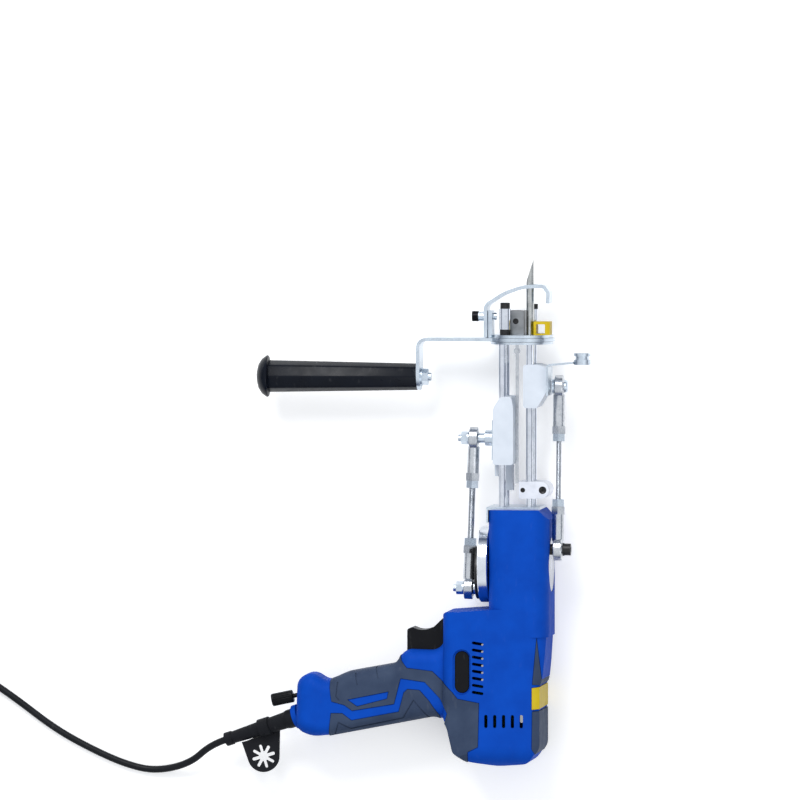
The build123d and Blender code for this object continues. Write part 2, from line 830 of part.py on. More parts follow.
def bevel_gear(teeth, pitch_radius, mate_radius):
    """A straight bevel gear about Z: the shared cone point is the origin, the back is towards +Z."""
    cone = atan2(pitch_radius, mate_radius)
    root_depth = root_share * module
    small = (cone_length - face_width) / cone_length
    root_radius = pitch_radius - root_depth * cos(cone)
    root_z = mate_radius + root_depth * sin(cone)
    back_z = root_z + module
    profile = Polyline((0, root_z * small), (root_radius * small, root_z * small), (root_radius, root_z),
                       (root_radius, back_z), (0, back_z), close=True)
    blank = revolve(make_face(Plane.XZ * profile), Axis.Z)
    pitch_width = 2 * pi * pitch_radius / teeth
    base_half = pitch_width * (1 - tooth_fill_share) / 2
    tip_half = pitch_width * tip_fill_share / 2
    tip_radius = pitch_radius + module * tip_share * cos(cone)
    tip_z = mate_radius - module * tip_share * sin(cone)
    sunk_radius = root_radius - module * cos(cone)
    sunk_z = root_z + module * sin(cone)
    corners = [(sunk_radius, base_half, sunk_z), (tip_radius, tip_half, tip_z),
               (tip_radius, -tip_half, tip_z), (sunk_radius, -base_half, sunk_z)]
    large = Face(Wire(Polyline(*corners, close=True).edges()))
    inner = [(x * small, y * small, z * small) for x, y, z in corners]
    little = Face(Wire(Polyline(*inner, close=True).edges()))
    tooth = loft([little, large], ruled=True)
    return blank + [Rot(0, 0, index * 360 / teeth) * tooth for index in range(teeth)]


def driven_gear():
    gear = bevel_gear(gear_teeth, gear_pitch_radius, pinion_pitch_radius)
    gear = Pos(0, crank_y, 0) * Rot(0, 90, 0) * gear
    return gear - round_x(-barrel_width, barrel_width, crank_y, 0, crank_shaft_radius)


def bevel_pinion():
    half_tooth = 180 / pinion_teeth
    pinion = bevel_gear(pinion_teeth, pinion_pitch_radius, gear_pitch_radius)
    pinion = Pos(0, crank_y, 0) * Rot(90, 0, 0) * Rot(0, 0, half_tooth) * pinion
    return pinion - round_y(-housing_length, 0, 0, 0, rotor_shaft_radius)


def crank_shaft():
    return round_x(left_disc_face, right_disc_face, crank_y, 0, crank_shaft_radius)


def left_crank_disc():
    disc = round_x(left_disc_face, left_disc_face + left_disc_thickness, crank_y, 0, left_disc_radius)
    rims = disc.edges().filter_by(GeomType.CIRCLE)
    disc = chamfer(rims, left_disc_recess / 2)
    return disc - crank_shaft()


def stroke_plate():
    plate = round_x(stroke_face, left_disc_face, crank_y - stroke_plate_offset, 0, stroke_plate_radius)
    plate = chamfer(plate.edges().filter_by(GeomType.CIRCLE), stroke_plate_thickness / 6)
    return plate - round_x(left_low_x, left_disc_face, left_pin_y, 0, pin_radius)


def right_crank_disc():
    disc = round_x(right_disc_face - right_disc_thickness, right_disc_face, crank_y, 0, right_disc_radius)
    return disc - crank_shaft()


def rod_end(length):
    """A rod end with its eye at the origin, its shank along +Y and its ball's bore along X."""
    ring_section = RectangleRounded(ring_radius - ball_radius + side_gap, ring_width, side_gap * 2)
    middle = (ring_radius + ball_radius - side_gap) / 2
    eye = Rot(0, 90, 0) * revolve(Plane.XZ * Pos(middle, 0) * ring_section, Axis.Z)
    stem = round_y(ball_radius + side_gap, length, 0, 0, shank_radius)
    stem = stem & block(-shank_radius, shank_radius, 0, length, -shank_radius, shank_radius)
    stem -= Rot(0, 90, 0) * Cylinder(ball_radius + side_gap / 2, barrel_width)
    nut = Pos(0, length - rod_hex_length / 2, 0) * Rot(90, 0, 0) * hexagon_bar(rod_hex_length, rod_hex)
    body = eye + stem + nut
    half = ball_width / 2
    ball = Sphere(ball_radius) & block(-half, half, -ring_radius, ring_radius, -ring_radius, ring_radius)
    body -= Sphere(ball_radius)
    ball -= Rot(0, 90, 0) * Cylinder(pin_radius + shaft_gap, barrel_width)
    return [body, ball]


def tie_rod(length, low_shank, high_shank, thread_radius, lean):
    """Both rod ends, the rod between them and its lock nuts, from the origin along +Y.

    The rod leans by an angle in its plane, and its balls stay square to their pins."""
    straighten = Rot(0, 0, -lean)
    low_body, low_ball = rod_end(low_shank + rod_hex_length)
    high_body, high_ball = rod_end(high_shank + rod_hex_length)
    low = [low_body, straighten * low_ball]
    high = [Pos(0, length, 0) * Rot(180, 0, 0) * high_body, Pos(0, length, 0) * straighten * high_ball]
    low_y = low_shank + rod_hex_length
    high_y = length - high_shank - rod_hex_length
    rod = round_y(low_y, high_y, 0, 0, thread_radius)
    nuts = []
    for y in (low_y + lock_nut_length / 2 + shaft_gap, high_y - lock_nut_length / 2 - shaft_gap):
        nut = Pos(0, y, 0) * Rot(90, 0, 0) * hexagon_bar(lock_nut_length, lock_nut_hex)
        nuts.append(nut - round_y(0, length, 0, 0, thread_radius))
    return low + high, rod, nuts


def left_rod_place():
    return Pos(left_low_x, left_pin_y, 0) * Rot(0, 0, left_lean)


def right_rod_place():
    return Pos(right_rod_x, right_pin_y, right_pin_z) * Rot(right_tilt, 0, 0)


def socket_head_x(x0, x1, y, z, radius):
    """A cap screw head along X with its hexagon socket at x1."""
    low, high = min(x0, x1), max(x0, x1)
    head = round_x(low, high, y, z, radius)
    depth = socket_depth if x1 > x0 else -socket_depth
    mouth = sorted((x1 - depth, x1 + depth))
    return head - hexagon_x(mouth[0], mouth[1], y, z, socket_across)


def left_crank_pin():
    ring_right = left_low_x + ball_width / 2
    ring_left = left_low_x - ball_width / 2
    pin_tip = ring_left - washer_thickness - left_pin_nut - left_pin_end
    pin = round_x(pin_tip, left_disc_face, left_pin_y, 0, pin_radius)
    pin += round_x(ring_right, stroke_face, left_pin_y, 0, left_collar_radius)
    pin += round_x(ring_left - washer_thickness, ring_left, left_pin_y, 0, washer_radius)
    nut_left = ring_left - washer_thickness - left_pin_nut
    pin += hexagon_x(nut_left, ring_left - washer_thickness, left_pin_y, 0, lock_nut_hex)
    return pin


def left_stud():
    ring_right = left_high_x + ball_width / 2
    ring_left = left_high_x - ball_width / 2
    tip = ring_left - washer_thickness - left_pin_nut - left_pin_end
    stud = round_x(tip, left_stud_tip, left_high_y, 0, pin_radius)
    stud += round_x(ring_right, left_stud_tip, left_high_y, 0, left_collar_radius - washer_thickness)
    stud += round_x(ring_left - washer_thickness, ring_left, left_high_y, 0, washer_radius)
    nut_left = ring_left - washer_thickness - left_pin_nut
    stud += hexagon_x(nut_left, ring_left - washer_thickness, left_high_y, 0, lock_nut_hex)
    return stud


def right_crank_pin():
    ring_left = right_rod_x - ball_width / 2
    ring_right = right_rod_x + ball_width / 2
    pin = round_x(right_disc_face, ring_right + washer_thickness, right_pin_y, right_pin_z, pin_radius)
    pin += round_x(right_disc_face, ring_left, right_pin_y, right_pin_z, right_collar_radius)
    washer_end = ring_right + washer_thickness
    pin += round_x(ring_right, washer_end, right_pin_y, right_pin_z, washer_radius)
    pin += socket_head_x(washer_end, washer_end + head_height, right_pin_y, right_pin_z, head_radius)
    return pin


def right_stud():
    ring_left = right_rod_x - ball_width / 2
    ring_right = right_rod_x + ball_width / 2
    stud = round_x(right_hub_start, ring_right + button_height / 2, right_high_y, 0, pin_radius)
    stud += round_x(right_hub_start, ring_left, right_high_y, 0, right_hub_radius)
    button_edge = button_radius + washer_thickness
    button = round_x(ring_right, ring_right + button_height, right_high_y, 0, button_edge)
    rim = button.edges().filter_by(GeomType.CIRCLE).sort_by(Axis.X)[-1]
    return stud + fillet(rim, button_height / 2)


def scissor_slider():
    left, right = left_slider_left, left_slider_right
    points = [(left, left_slider_low), (left, left_slider_top - neck_height),
              (left + neck_left_step, left_slider_top), (right - neck_right_step, left_slider_top),
              (right, left_slider_top - neck_height), (right, left_slider_low)]
    radii = [slider_chamfer, neck_height, slider_chamfer, slider_chamfer, neck_height, slider_chamfer]
    face = make_face(FilletPolyline(*points, radius=radii, close=True))
    slider = extrude(face, left_slider_depth / 2, both=True)
    slider += block(right - slider_chamfer - extension_width, right - slider_chamfer, extension_low,
                    left_slider_low + slider_chamfer, -extension_depth, 0)
    slider += block(left, left + dark_end_width, left_slider_low - dark_end_height,
                    left_slider_low + slider_chamfer * 2, -extension_depth / 2, extension_depth / 2)
    for z in (-rod_spread / 2, rod_spread / 2):
        slider -= round_y(0, plate_height, left_rods_x, z, rod_radius + shaft_gap)
    return slider


def side_plate():
    half = side_plate_depth / 2
    left = left_slider_left - side_plate_thickness
    plate = block(left, left_slider_left, side_plate_low, side_plate_top, -half, half)
    plate += round_x(boss_tip, left, left_high_y, 0, boss_radius_slider)
    return plate


def scissor_bar():
    left = left_slider_right
    bar = block(left, left + bar_width, bar_low, blade_top, -bar_depth, 0)
    neck = left_slider_top - neck_height
    bar += block(left, left + bar_width, bar_low, neck, -bar_depth * 2, bar_depth * 2)
    edge = Polyline((left - cut_overrun, blade_top - blade_point), (left + bar_width, blade_top),
                    (left - cut_overrun, blade_top + cut_overrun), close=True)
    bar -= extrude(make_face(edge), cut_overrun, both=True)
    pivot_x = left + bar_width / 2
    return bar + round_z(0, bar_depth + jaw_rivet_height + jaw_gap, pivot_x, jaw_pivot_y,
                         jaw_rivet_radius / 2)


def scissor_blade():
    left = left_slider_right
    low = jaw_pivot_y - jaw_tail
    pivot_x = left + bar_width / 2
    blade = block(left, left + bar_width, low, blade_top, jaw_gap, jaw_gap + bar_depth)
    blade += round_z(jaw_gap, jaw_gap + bar_depth, pivot_x, jaw_pivot_y, jaw_rivet_radius)
    edge = Polyline((left + bar_width + cut_overrun, blade_top - blade_point), (left, blade_top),
                    (left + bar_width + cut_overrun, blade_top + cut_overrun), close=True)
    blade -= extrude(make_face(edge), cut_overrun, both=True)
    return blade - round_z(-bar_depth, bar_depth * 3, pivot_x, jaw_pivot_y, jaw_rivet_radius / 2 + shaft_gap)


def needle_slider():
    left, waist, right = right_slider_left, right_slider_waist, right_slider_right
    low, top = right_slider_low, right_slider_top
    points = [(left, low), (left, top), (waist, top), (right, top - slider_chamfer),
              (right, low + needle_shoulder), (waist, low)]
    radii = [slider_chamfer, slider_chamfer, slider_chamfer, slider_chamfer, neck_height, slider_chamfer]
    face = make_face(FilletPolyline(*points, radius=radii, close=True))
    slider = extrude(face, right_slider_depth / 2, both=True)
    for z in (-rod_spread / 2, rod_spread / 2):
        slider -= round_y(0, plate_height, right_rods_x, z, rod_radius + shaft_gap)
    slider -= round_y(right_slider_top - needle_shoulder, plate_height, needle_x, 0, needle_radius)
    return slider


def needle():
    low = right_slider_top - needle_shoulder
    tube = round_y(low, needle_tip_y, needle_x, 0, needle_radius)
    tube -= round_y(low - cut_overrun, needle_tip_y + cut_overrun, needle_x, 0, needle_bore)
    left = needle_x - needle_radius
    right = needle_x + needle_radius
    beyond = needle_tip_y + cut_overrun
    slope = Polyline((left, needle_tip_y - needle_bevel), (right, needle_tip_y), (right, beyond),
                     (left - cut_overrun, beyond), (left - cut_overrun, needle_tip_y - needle_bevel),
                     close=True)
    tube -= extrude(make_face(slope), needle_radius * 2, both=True)
    half = needle_channel / 2
    channel_low = right_slider_top + needle_radius
    return tube - block(left - cut_overrun, needle_x, channel_low, beyond, -half, half)


def yarn_eye():
    """The bent strip on the needle carriage and the two stacked rings that guide the yarn."""
    x0 = right_slider_right
    x1 = x0 + eye_leg_thickness
    leg = block(x0, x1, eye_leg_low, right_slider_top - slider_chamfer, eye_arm_low_z - eye_leg_depth,
                eye_arm_low_z + eye_arm_width)
    z0, z1 = eye_arm_low_z, eye_arm_low_z + eye_arm_width
    path = FilletPolyline((x1 - eye_leg_thickness / 2, right_slider_top - slider_chamfer * 2),
                          (x1 - eye_leg_thickness / 2, eye_arm_y - eye_leg_thickness),
                          (eye_x - eye_radius, eye_y - eye_ring_height), radius=slider_chamfer)
    arm = extrude(Pos(0, 0, z0) * trace(path, eye_leg_thickness), eye_arm_width)
    middle = (z0 + z1) / 2
    ring = eye_y - eye_ring_height
    eye = ring_y(ring - eye_leg_thickness, ring + eye_ring_height, eye_x, middle, eye_radius, eye_hole)
    upper = ring + eye_ring_height
    neck = eye_hole + eye_leg_thickness
    eye += ring_y(upper - side_gap, upper + eye_ring_step, eye_x, middle, neck, eye_hole)
    top = upper + eye_ring_step
    eye += ring_y(top - eye_leg_thickness / 2, top + eye_leg_thickness, eye_x, middle, eye_radius, eye_hole)
    return leg + arm + eye


def through_holes(y0, y1):
    """The holes that the plates share: four rods, the needle and the scissor slot."""
    half = slot_depth / 2
    cuts = block(slot_left, slot_right, y0, y1, -half, half)
    cuts += round_y(y0, y1, needle_x, 0, needle_hole)
    for x in (left_rods_x, right_rods_x):
        for z in (-rod_spread / 2, rod_spread / 2):
            cuts += round_y(y0, y1, x, z, rod_radius)
    return cuts


def lower_plate():
    return round_y(plate_height, bracket_bottom, 0, 0, plate_radius) - through_holes(0, deck)


def upper_plate():
    plate = round_y(upper_plate_bottom, deck, 0, 0, plate_radius)
    half = foot_lug_depth / 2
    plate += block(foot_lug_left, foot_lug_right, upper_plate_bottom, foot_lug_top, -half, half)
    plate -= round_x(foot_lug_left - cut_overrun, foot_lug_right + cut_overrun, foot_screw_y, 0,
                     foot_screw_radius + shaft_gap)
    return plate - through_holes(0, deck + cut_overrun)


def grip_bracket():
    """The disc between the plates with the long arm that is bent down to the side grip."""
    half = bracket_width / 2
    disc = round_y(bracket_bottom, upper_plate_bottom, 0, 0, bracket_disc_radius)
    y = (bracket_bottom + upper_plate_bottom) / 2
    x = bracket_reach + bracket_leg_thickness / 2
    path = FilletPolyline((0, y), (x, y), (x, bracket_low + half), radius=bracket_bend)
    arm = extrude(trace(path, bracket_thickness), half, both=True)
    foot = Pos(x, bracket_low + half, 0) * Rot(0, 90, 0) * extrude(
        Circle(half), bracket_leg_thickness / 2, both=True)
    bracket = disc + arm + foot
    bracket -= round_x(bracket_reach - cut_overrun, bracket_reach + cut_overrun, grip_y, 0, grip_bolt_radius)
    return bracket - through_holes(0, deck)


def side_grip():
    start = bracket_reach
    neck = start - grip_length
    end = neck - flange_width
    line = Polyline((neck, grip_end_radius), (start, grip_neck_radius), (start, 0), (end - flange_dome, 0))
    cap = ThreePointArc((end - flange_dome, 0), (end - flange_dome / 4, flange_radius / 2),
                        (end + flange_dome, flange_radius))
    rim = Polyline((end + flange_dome, flange_radius), (neck, flange_radius), (neck, grip_end_radius))
    grip = revolve(make_face(line + cap + rim), Axis.X)
    grip = Pos(0, grip_y, 0) * grip
    return grip - round_x(start - grip_bolt_depth, start, grip_y, 0, grip_bolt_radius)


def grip_bolt():
    right = bracket_reach + bracket_leg_thickness
    nut = right + washer_thickness
    bolt = round_x(bracket_reach - grip_bolt_depth, nut + grip_nut_length + grip_bolt_end, grip_y, 0,
                   grip_bolt_radius)
    bolt += round_x(right, nut, grip_y, 0, grip_washer_radius)
    return bolt + hexagon_x(nut, nut + grip_nut_length, grip_y, 0, grip_nut_hex)


def guide_rods():
    rods = []
    for x in (left_rods_x, right_rods_x):
        for z in (-rod_spread / 2, rod_spread / 2):
            rods.append(round_y(-rod_socket, deck, x, z, rod_radius))
    return rods


def clamp_block():
    round_end = (clamp_top - clamp_low) / 2
    middle = (clamp_low + clamp_top) / 2
    half = clamp_depth / 2
    piece = block(clamp_left, clamp_right - round_end, clamp_low, clamp_top, -half, half)
    piece += round_z(-half, half, clamp_right - round_end, middle, round_end)
    piece -= round_z(-barrel_depth, barrel_depth, clamp_hole_x, middle, clamp_hole_radius)
    piece -= round_z(-barrel_depth, barrel_depth, clamp_screw_x, middle, clamp_screw_radius)
    for z in (-rod_spread / 2, rod_spread / 2):
        piece -= round_y(0, plate_height, right_rods_x, z, rod_radius)
    return piece


def needle_guide():
    half = guide_depth / 2
    piece = block(guide_left, guide_right, deck, guide_top, -half, half)
    piece -= block(slot_left, slot_right, 0, guide_top + cut_overrun, -slot_depth / 2, slot_depth / 2)
    return piece - round_z(half - guide_screw_depth, half + cut_overrun, guide_screw_x, guide_screw_y,
                           guide_screw_radius)


def pillars():
    foot = deck + left_pillar_foot
    left = round_y(foot, left_pillar_top, left_pillar_x, left_pillar_z, left_pillar_radius)
    right = round_y(deck, right_pillar_top, right_pillar_x, right_pillar_z, right_pillar_radius)
    return [left, right]


def head_screws():
    """Black screws: the pillars' heads and foot, the grub screw and the clamp block's screw."""
    x, z = left_pillar_x, left_pillar_z
    foot = round_y(deck, deck + left_pillar_foot, x, z, left_pillar_radius - side_gap)
    head_y = left_pillar_top + left_pillar_head
    head = round_y(left_pillar_top, head_y, x, z, left_pillar_radius - side_gap * 2)
    head -= Pos(x, head_y, z) * Rot(90, 0, 0) * hexagon_bar(socket_depth * 2, socket_across * 0.75)
    x, z = right_pillar_x, right_pillar_z
    cap_y = right_pillar_top + right_pillar_head
    cap = round_y(right_pillar_top, cap_y, x, z, right_pillar_radius + side_gap)
    cap -= Pos(x, cap_y, z) * Rot(90, 0, 0) * hexagon_bar(socket_depth, socket_across / 2)
    half = guide_depth / 2
    grub = round_z(half - guide_screw_depth, half - guide_screw_depth / 3, guide_screw_x, guide_screw_y,
                   guide_screw_radius)
    grub -= Pos(guide_screw_x, guide_screw_y, half - guide_screw_depth / 3) * hexagon_bar(
        guide_screw_depth / 2, guide_screw_radius)
    half = clamp_depth / 2
    middle = (clamp_low + clamp_top) / 2
    lock = round_z(right_rods_bore_front, half - clamp_screw_radius / 2, clamp_screw_x, middle,
                   clamp_screw_radius)
    lock -= Pos(clamp_screw_x, middle, half - clamp_screw_radius / 2) * hexagon_bar(
        guide_screw_depth / 2, guide_screw_radius)
    return [foot, head, cap, grub, lock]


def yarn_window():
    piece = block(yellow_left, yellow_right, deck, yellow_top, yellow_back, yellow_front)
    return piece - block(yellow_left + yellow_wall, yellow_right - yellow_wall * 2, deck + yellow_wall / 2,
                         yellow_top - yellow_wall, yellow_back - cut_overrun, yellow_front + cut_overrun)


def presser_foot():
    strip = trace(FilletPolyline(*foot_points, radius=foot_bends), foot_thickness)
    foot = extrude(strip, foot_width / 2, both=True)
    half = foot_slot_width / 2
    foot -= block(foot_slot_left, foot_slot_right, foot_leg_low + foot_width, needle_tip_y, -half, half)
    low = foot_screw_y - foot_travel
    radius = foot_screw_radius + foot_slot_gap
    x0, x1 = foot_leg_x - cut_overrun, foot_leg_x + cut_overrun
    slot = block(x0, x1, low, foot_screw_y, -radius, radius)
    slot += round_x(x0, x1, low, 0, radius) + round_x(x0, x1, foot_screw_y, 0, radius)
    return foot - slot


def foot_screw():
    leg_left = foot_leg_x - foot_thickness / 2
    head_left = foot_head_right - foot_head_length
    screw = socket_head_x(foot_head_right, head_left, foot_screw_y, 0, foot_head_radius)
    screw += round_x(foot_head_right, leg_left - side_gap, foot_screw_y, 0, foot_sleeve_radius)
    tail = foot_lug_right + side_gap
    screw += round_x(foot_head_right, tail + foot_tail_length, foot_screw_y, 0, foot_screw_radius)
    return screw + round_x(tail, tail + foot_tail_length, foot_screw_y, 0, foot_tail_radius)


def trigger():
    body = extrude(trigger_outline(), trigger_width / 2, both=True)
    return body


def switch_body():
    """The switch that the trigger presses, held between two ribs in the handle."""
    low = switch_top - switch_height
    half = switch_width / 2
    return block(switch_left, switch_left + switch_length, low, switch_top, -half, half)


def direction_rocker():
    """The long black rocker, a bar with rounded ends that tilts on two small pins."""
    bar = extrude(SlotOverall(rocker_length, rocker_width, rotation=90), rocker_height / 2, both=True)
    half = rocker_width / 2 + rocker_pin_length - side_gap
    pin = round_x(rocker_x - half, rocker_x + half, rocker_y, rocker_pin_z, rocker_pin_radius)
    return Pos(rocker_x, rocker_y, rocker_pin_z) * bar + pin


def speed_knob():
    """The fluted knob on its thin shaft, which goes into the speed control."""
    knob = Pos(0, 0, knob_start + knob_length / 2) * Cylinder(knob_radius, knob_length)
    knob = chamfer(knob.edges().filter_by(GeomType.CIRCLE), flute_radius)
    for flute in range(knob_flutes):
        cut = Pos(knob_radius, 0, knob_start + knob_length / 2) * Cylinder(flute_radius, knob_length * 0.8)
        knob -= Rot(0, 0, flute * 360 / knob_flutes) * cut
    depth = wall + control_length / 2
    shaft = Pos(0, 0, (knob_start - depth) / 2) * Cylinder(knob_shaft_radius, knob_start + depth)
    return knob_place() * (knob + shaft)


def speed_control():
    depth = wall * 2
    can = Pos(0, 0, -depth - control_length / 2) * Cylinder(control_radius, control_length)
    can -= Cylinder(knob_shaft_radius + shaft_gap, control_length * 4)
    return knob_place() * can


def housing_screws():
    screws = []
    for along, down, step_share in post_shares:
        x, y = housing_spot(along, down)
        seat = screw_sink + step_share * handle_step - barrel_front
        screw = round_z(seat - screw_head_height, seat, x, y, screw_head_radius)
        screw += round_z(seat - screw_head_height, screw_length - screw_sink, x, y, screw_radius)
        cross = block(-screw_radius, screw_radius, -side_gap, side_gap, -side_gap * 2, side_gap * 2)
        cross += Rot(0, 0, 90) * cross
        screws.append(screw - Pos(x, y, seat - screw_head_height) * cross)
    return screws


def control_board():
    board = block(board_left, board_right, board_low, board_top, board_z, board_z + board_thickness)
    mid = (board_left + board_right) / 2
    half = chip_height / 2
    high = board_z + board_thickness + chip_height
    board += block(mid - half * 3, mid + half * 3, board_low + chip_height, board_low + chip_height * 3,
                   board_z + board_thickness, high)
    return board + round_z(board_z + board_thickness, high, mid, board_top - chip_height, half)


def strain_relief():
    """A tapered sleeve with a root flange and a collar at its tip; Z runs out of the handle."""
    collar = relief_length - relief_collar
    points = [(0, 0), (relief_root_radius, 0), (relief_root_radius, relief_collar),
              (relief_waist_radius, relief_collar + relief_slope), (relief_tip_radius, collar),
              (relief_tip_radius + relief_lip, collar), (relief_tip_radius + relief_lip, relief_length),
              (0, relief_length)]
    sleeve = revolve(make_face(Plane.XZ * Polyline(*points, close=True)), Axis.Z)
    plug = Pos(0, 0, -relief_plug_length / 2) * Cylinder(relief_plug_radius, relief_plug_length)
    return relief_place() * (sleeve + plug)


def relief_radius_at(distance):
    """The sleeve's radius at a distance from its root, in its tapered part."""
    start = relief_collar + relief_slope
    span = relief_length - relief_collar - start
    share = (distance - start) / span
    return relief_waist_radius + (relief_tip_radius - relief_waist_radius) * share


def key_holder():
    inner = relief_radius_at(holder_start) + shaft_gap
    band = Pos(0, 0, holder_start + holder_band / 2) * Cylinder(inner + holder_wall, holder_band)
    band = relief_place() * band
    low = tab_top - tab_thickness
    plan = Pos(tab_x, tab_y) * Circle(tab_radius)
    corners = [(tab_x + across * tab_radius, tab_y + up * tab_radius) for across, up in neck_shares]
    neck = Polyline(*corners, close=True)
    tab = Pos(0, 0, low) * extrude(plan + make_face(neck), tab_thickness)
    for arm in range(star_arms):
        cut = SlotOverall(star_length, star_width, rotation=star_turn + arm * 180 / star_arms)
        tab -= Pos(tab_x, tab_y, low - cut_overrun) * extrude(cut, tab_thickness + cut_overrun * 2)
    tab -= round_z(low - cut_overrun, tab_top + cut_overrun, tab_x, tab_y, star_core)
    whole = band + tab
    hole = Pos(0, 0, holder_start + holder_band / 2) * Cylinder(inner, relief_length)
    return whole - relief_place() * hole


def arc_radii(points):
    """Each corner's radius: 0.45 of the shorter run over the tangent of half the turn."""
    radii = []
    for before, here, after in zip(points, points[1:], points[2:]):
        run_in = Vector(here) - Vector(before)
        run_out = Vector(after) - Vector(here)
        half_turn = radians(run_in.get_angle(run_out)) / 2
        radii.append(0.45 * min(run_in.length, run_out.length) / tan(half_turn))
    return radii


def tube(path):
    start = path.edges()[0]
    section = Plane(origin=start @ 0, z_dir=start % 0) * Circle(cord_radius)
    return sweep(section, path=path)


def coil_edges(route):
    """The coil's half turns and its tail, as arcs that run on from one another.

    The radii step in and out within a layer, and the half turn that climbs to the next layer
    swings clear of the layer below. Each half turn is two quarter arcs. A wider half turn leads
    to the tail, which bends down to the table and up again, so that the socket lies flat."""
    away = Vector(route[-1]) - Vector(route[-2])
    away = Vector(away.X, away.Y, 0).normalized()
    inward = Vector(-away.Y, away.X, 0)
    turns = []
    for layer in range(coil_layers):
        steps = list(range(coil_loops))
        climb = coil_radius - coil_loops * coil_step
        if layer % 2 == 1:
            steps.reverse()
            climb = coil_radius + coil_step
        for step in steps:
            turns.append((coil_radius - step * coil_step, 0))
        if layer < coil_layers - 1:
            turns.append((climb, coil_layer))
    turns.append((coil_radius + 2 * coil_step, 0))
    spot = Vector(route[-1])
    ahead = away
    side = inward
    edges = []
    for radius, rise in turns:
        reach = sqrt(radius ** 2 + (rise / 2) ** 2)
        middle = spot + ahead * reach + side * radius + Vector(0, 0, rise / 2)
        end = spot + side * (2 * radius) + Vector(0, 0, rise)
        edges.append(Edge.make_tangent_arc(spot, ahead, middle))
        edges.append(Edge.make_tangent_arc(middle, edges[-1] % 1, end))
        spot = end
        ahead = ahead * -1
        side = side * -1
    drop = spot.Z - floor_z - socket_radius - tail_end_gap
    bend = acos(1 - drop / (2 * tail_radius))
    step = ahead * (tail_radius * sin(bend)) - Vector(0, 0, drop / 2)
    edges.append(Edge.make_tangent_arc(spot, ahead, spot + step))
    edges.append(Edge.make_tangent_arc(spot + step, edges[-1] % 1, spot + step * 2))
    spot = spot + step * 2
    edges.append(Edge.make_line(spot, spot + ahead * (2 * cord_radius)))
    return edges, spot + ahead * (2 * cord_radius), ahead, away, inward


def least_gap(edges):
    """The smallest gap between parts of the coil that lie further apart along it than near_length."""
    points = []
    travelled = 0
    for edge in edges:
        for index in range(coil_samples):
            points.append((travelled + edge.length * index / coil_samples, edge @ (index / coil_samples)))
        travelled += edge.length
    smallest = travelled
    for index, (place, point) in enumerate(points):
        for other_place, other in points[index + 1:]:
            if other_place - place > near_length:
                smallest = min(smallest, (point - other).length)
    return smallest - 2 * cord_radius


def cord_points():
    tip = (relief_place() * Pos(0, 0, relief_length)).position
    drop = tip.Z - floor_z - cord_radius - cord_lift
    return [(tip.X + x, tip.Y + y, tip.Z - share * drop) for x, y, share in cord_route]


def cords():
    """The cord's tube, the coil with its tail, the tie round the coil and the socket on the tail."""
    route = cord_points()
    radii = arc_radii(route)
    print("cord radii", [round(radius, 1) for radius in radii])
    lead_path = FilletPolyline(*route, radius=radii)
    edges, end, ahead, away, inward = coil_edges(route)
    coil_path = Wire(edges)
    lead = tube(lead_path)
    coil = tube(coil_path)
    section = pi * cord_radius ** 2
    print("lead length and volume share", lead_path.length, lead.volume / section / lead_path.length)
    print("coil length and volume share", coil_path.length, coil.volume / section / coil_path.length)
    print("coil least gap", least_gap(edges))
    points = [(0, 0), (socket_tail_radius, 0), (socket_radius, socket_tail), (socket_radius, socket_length),
              (socket_bore_radius, socket_length), (socket_bore_radius, socket_length - socket_bore_depth),
              (0, socket_length - socket_bore_depth)]
    body = revolve(make_face(Plane.XZ * Polyline(*points, close=True)), Axis.Z)
    socket = Plane(origin=end, z_dir=ahead).location * body
    outer = coil_radius + cord_radius + tie_gap
    inner = coil_radius - coil_step * (coil_loops - 1) - cord_radius - tie_bow
    low = route[-1][2] - cord_radius - tie_gap
    high = route[-1][2] + coil_layer * (coil_layers - 1) + cord_radius + tie_gap
    band = Box(outer - inner + 2 * tie_thickness, tie_width, high - low + 2 * tie_thickness)
    band -= Box(outer - inner, tie_width + cut_overrun, high - low)
    middle = Vector(route[-1]) + inward * (coil_radius + coil_step) + away * ((outer + inner) / 2)
    heading = degrees(atan2(away.Y, away.X))
    tie = Pos(middle.X, middle.Y, (low + high) / 2) * Rot(0, 0, heading) * band
    print("socket mouth", tuple(end + ahead * socket_length), "axis", tuple(ahead))
    return lead, coil, tie, socket


surface = lower_body(0) + handle_bar(0)
bed = lower_body(skin_sink) + handle_bar(skin_sink)
front_shell, back_shell = housing_halves(skin_beds(surface, bed))
grip_front, grip_back, bumper, tab, inlays = skins(surface, bed)
left_ends, left_thread, left_nuts = tie_rod(left_rod_length, shank_length, shank_length, rod_thread_radius,
                                            left_lean)
right_ends, right_thread, right_nuts = tie_rod(right_rod_length, shank_length, long_shank_length,
                                               right_thread_radius, 0)
lead, coil, tie, socket = cords()


def placed(place, piece):
    if isinstance(piece, list):
        return [place * one for one in piece]
    return place * piece


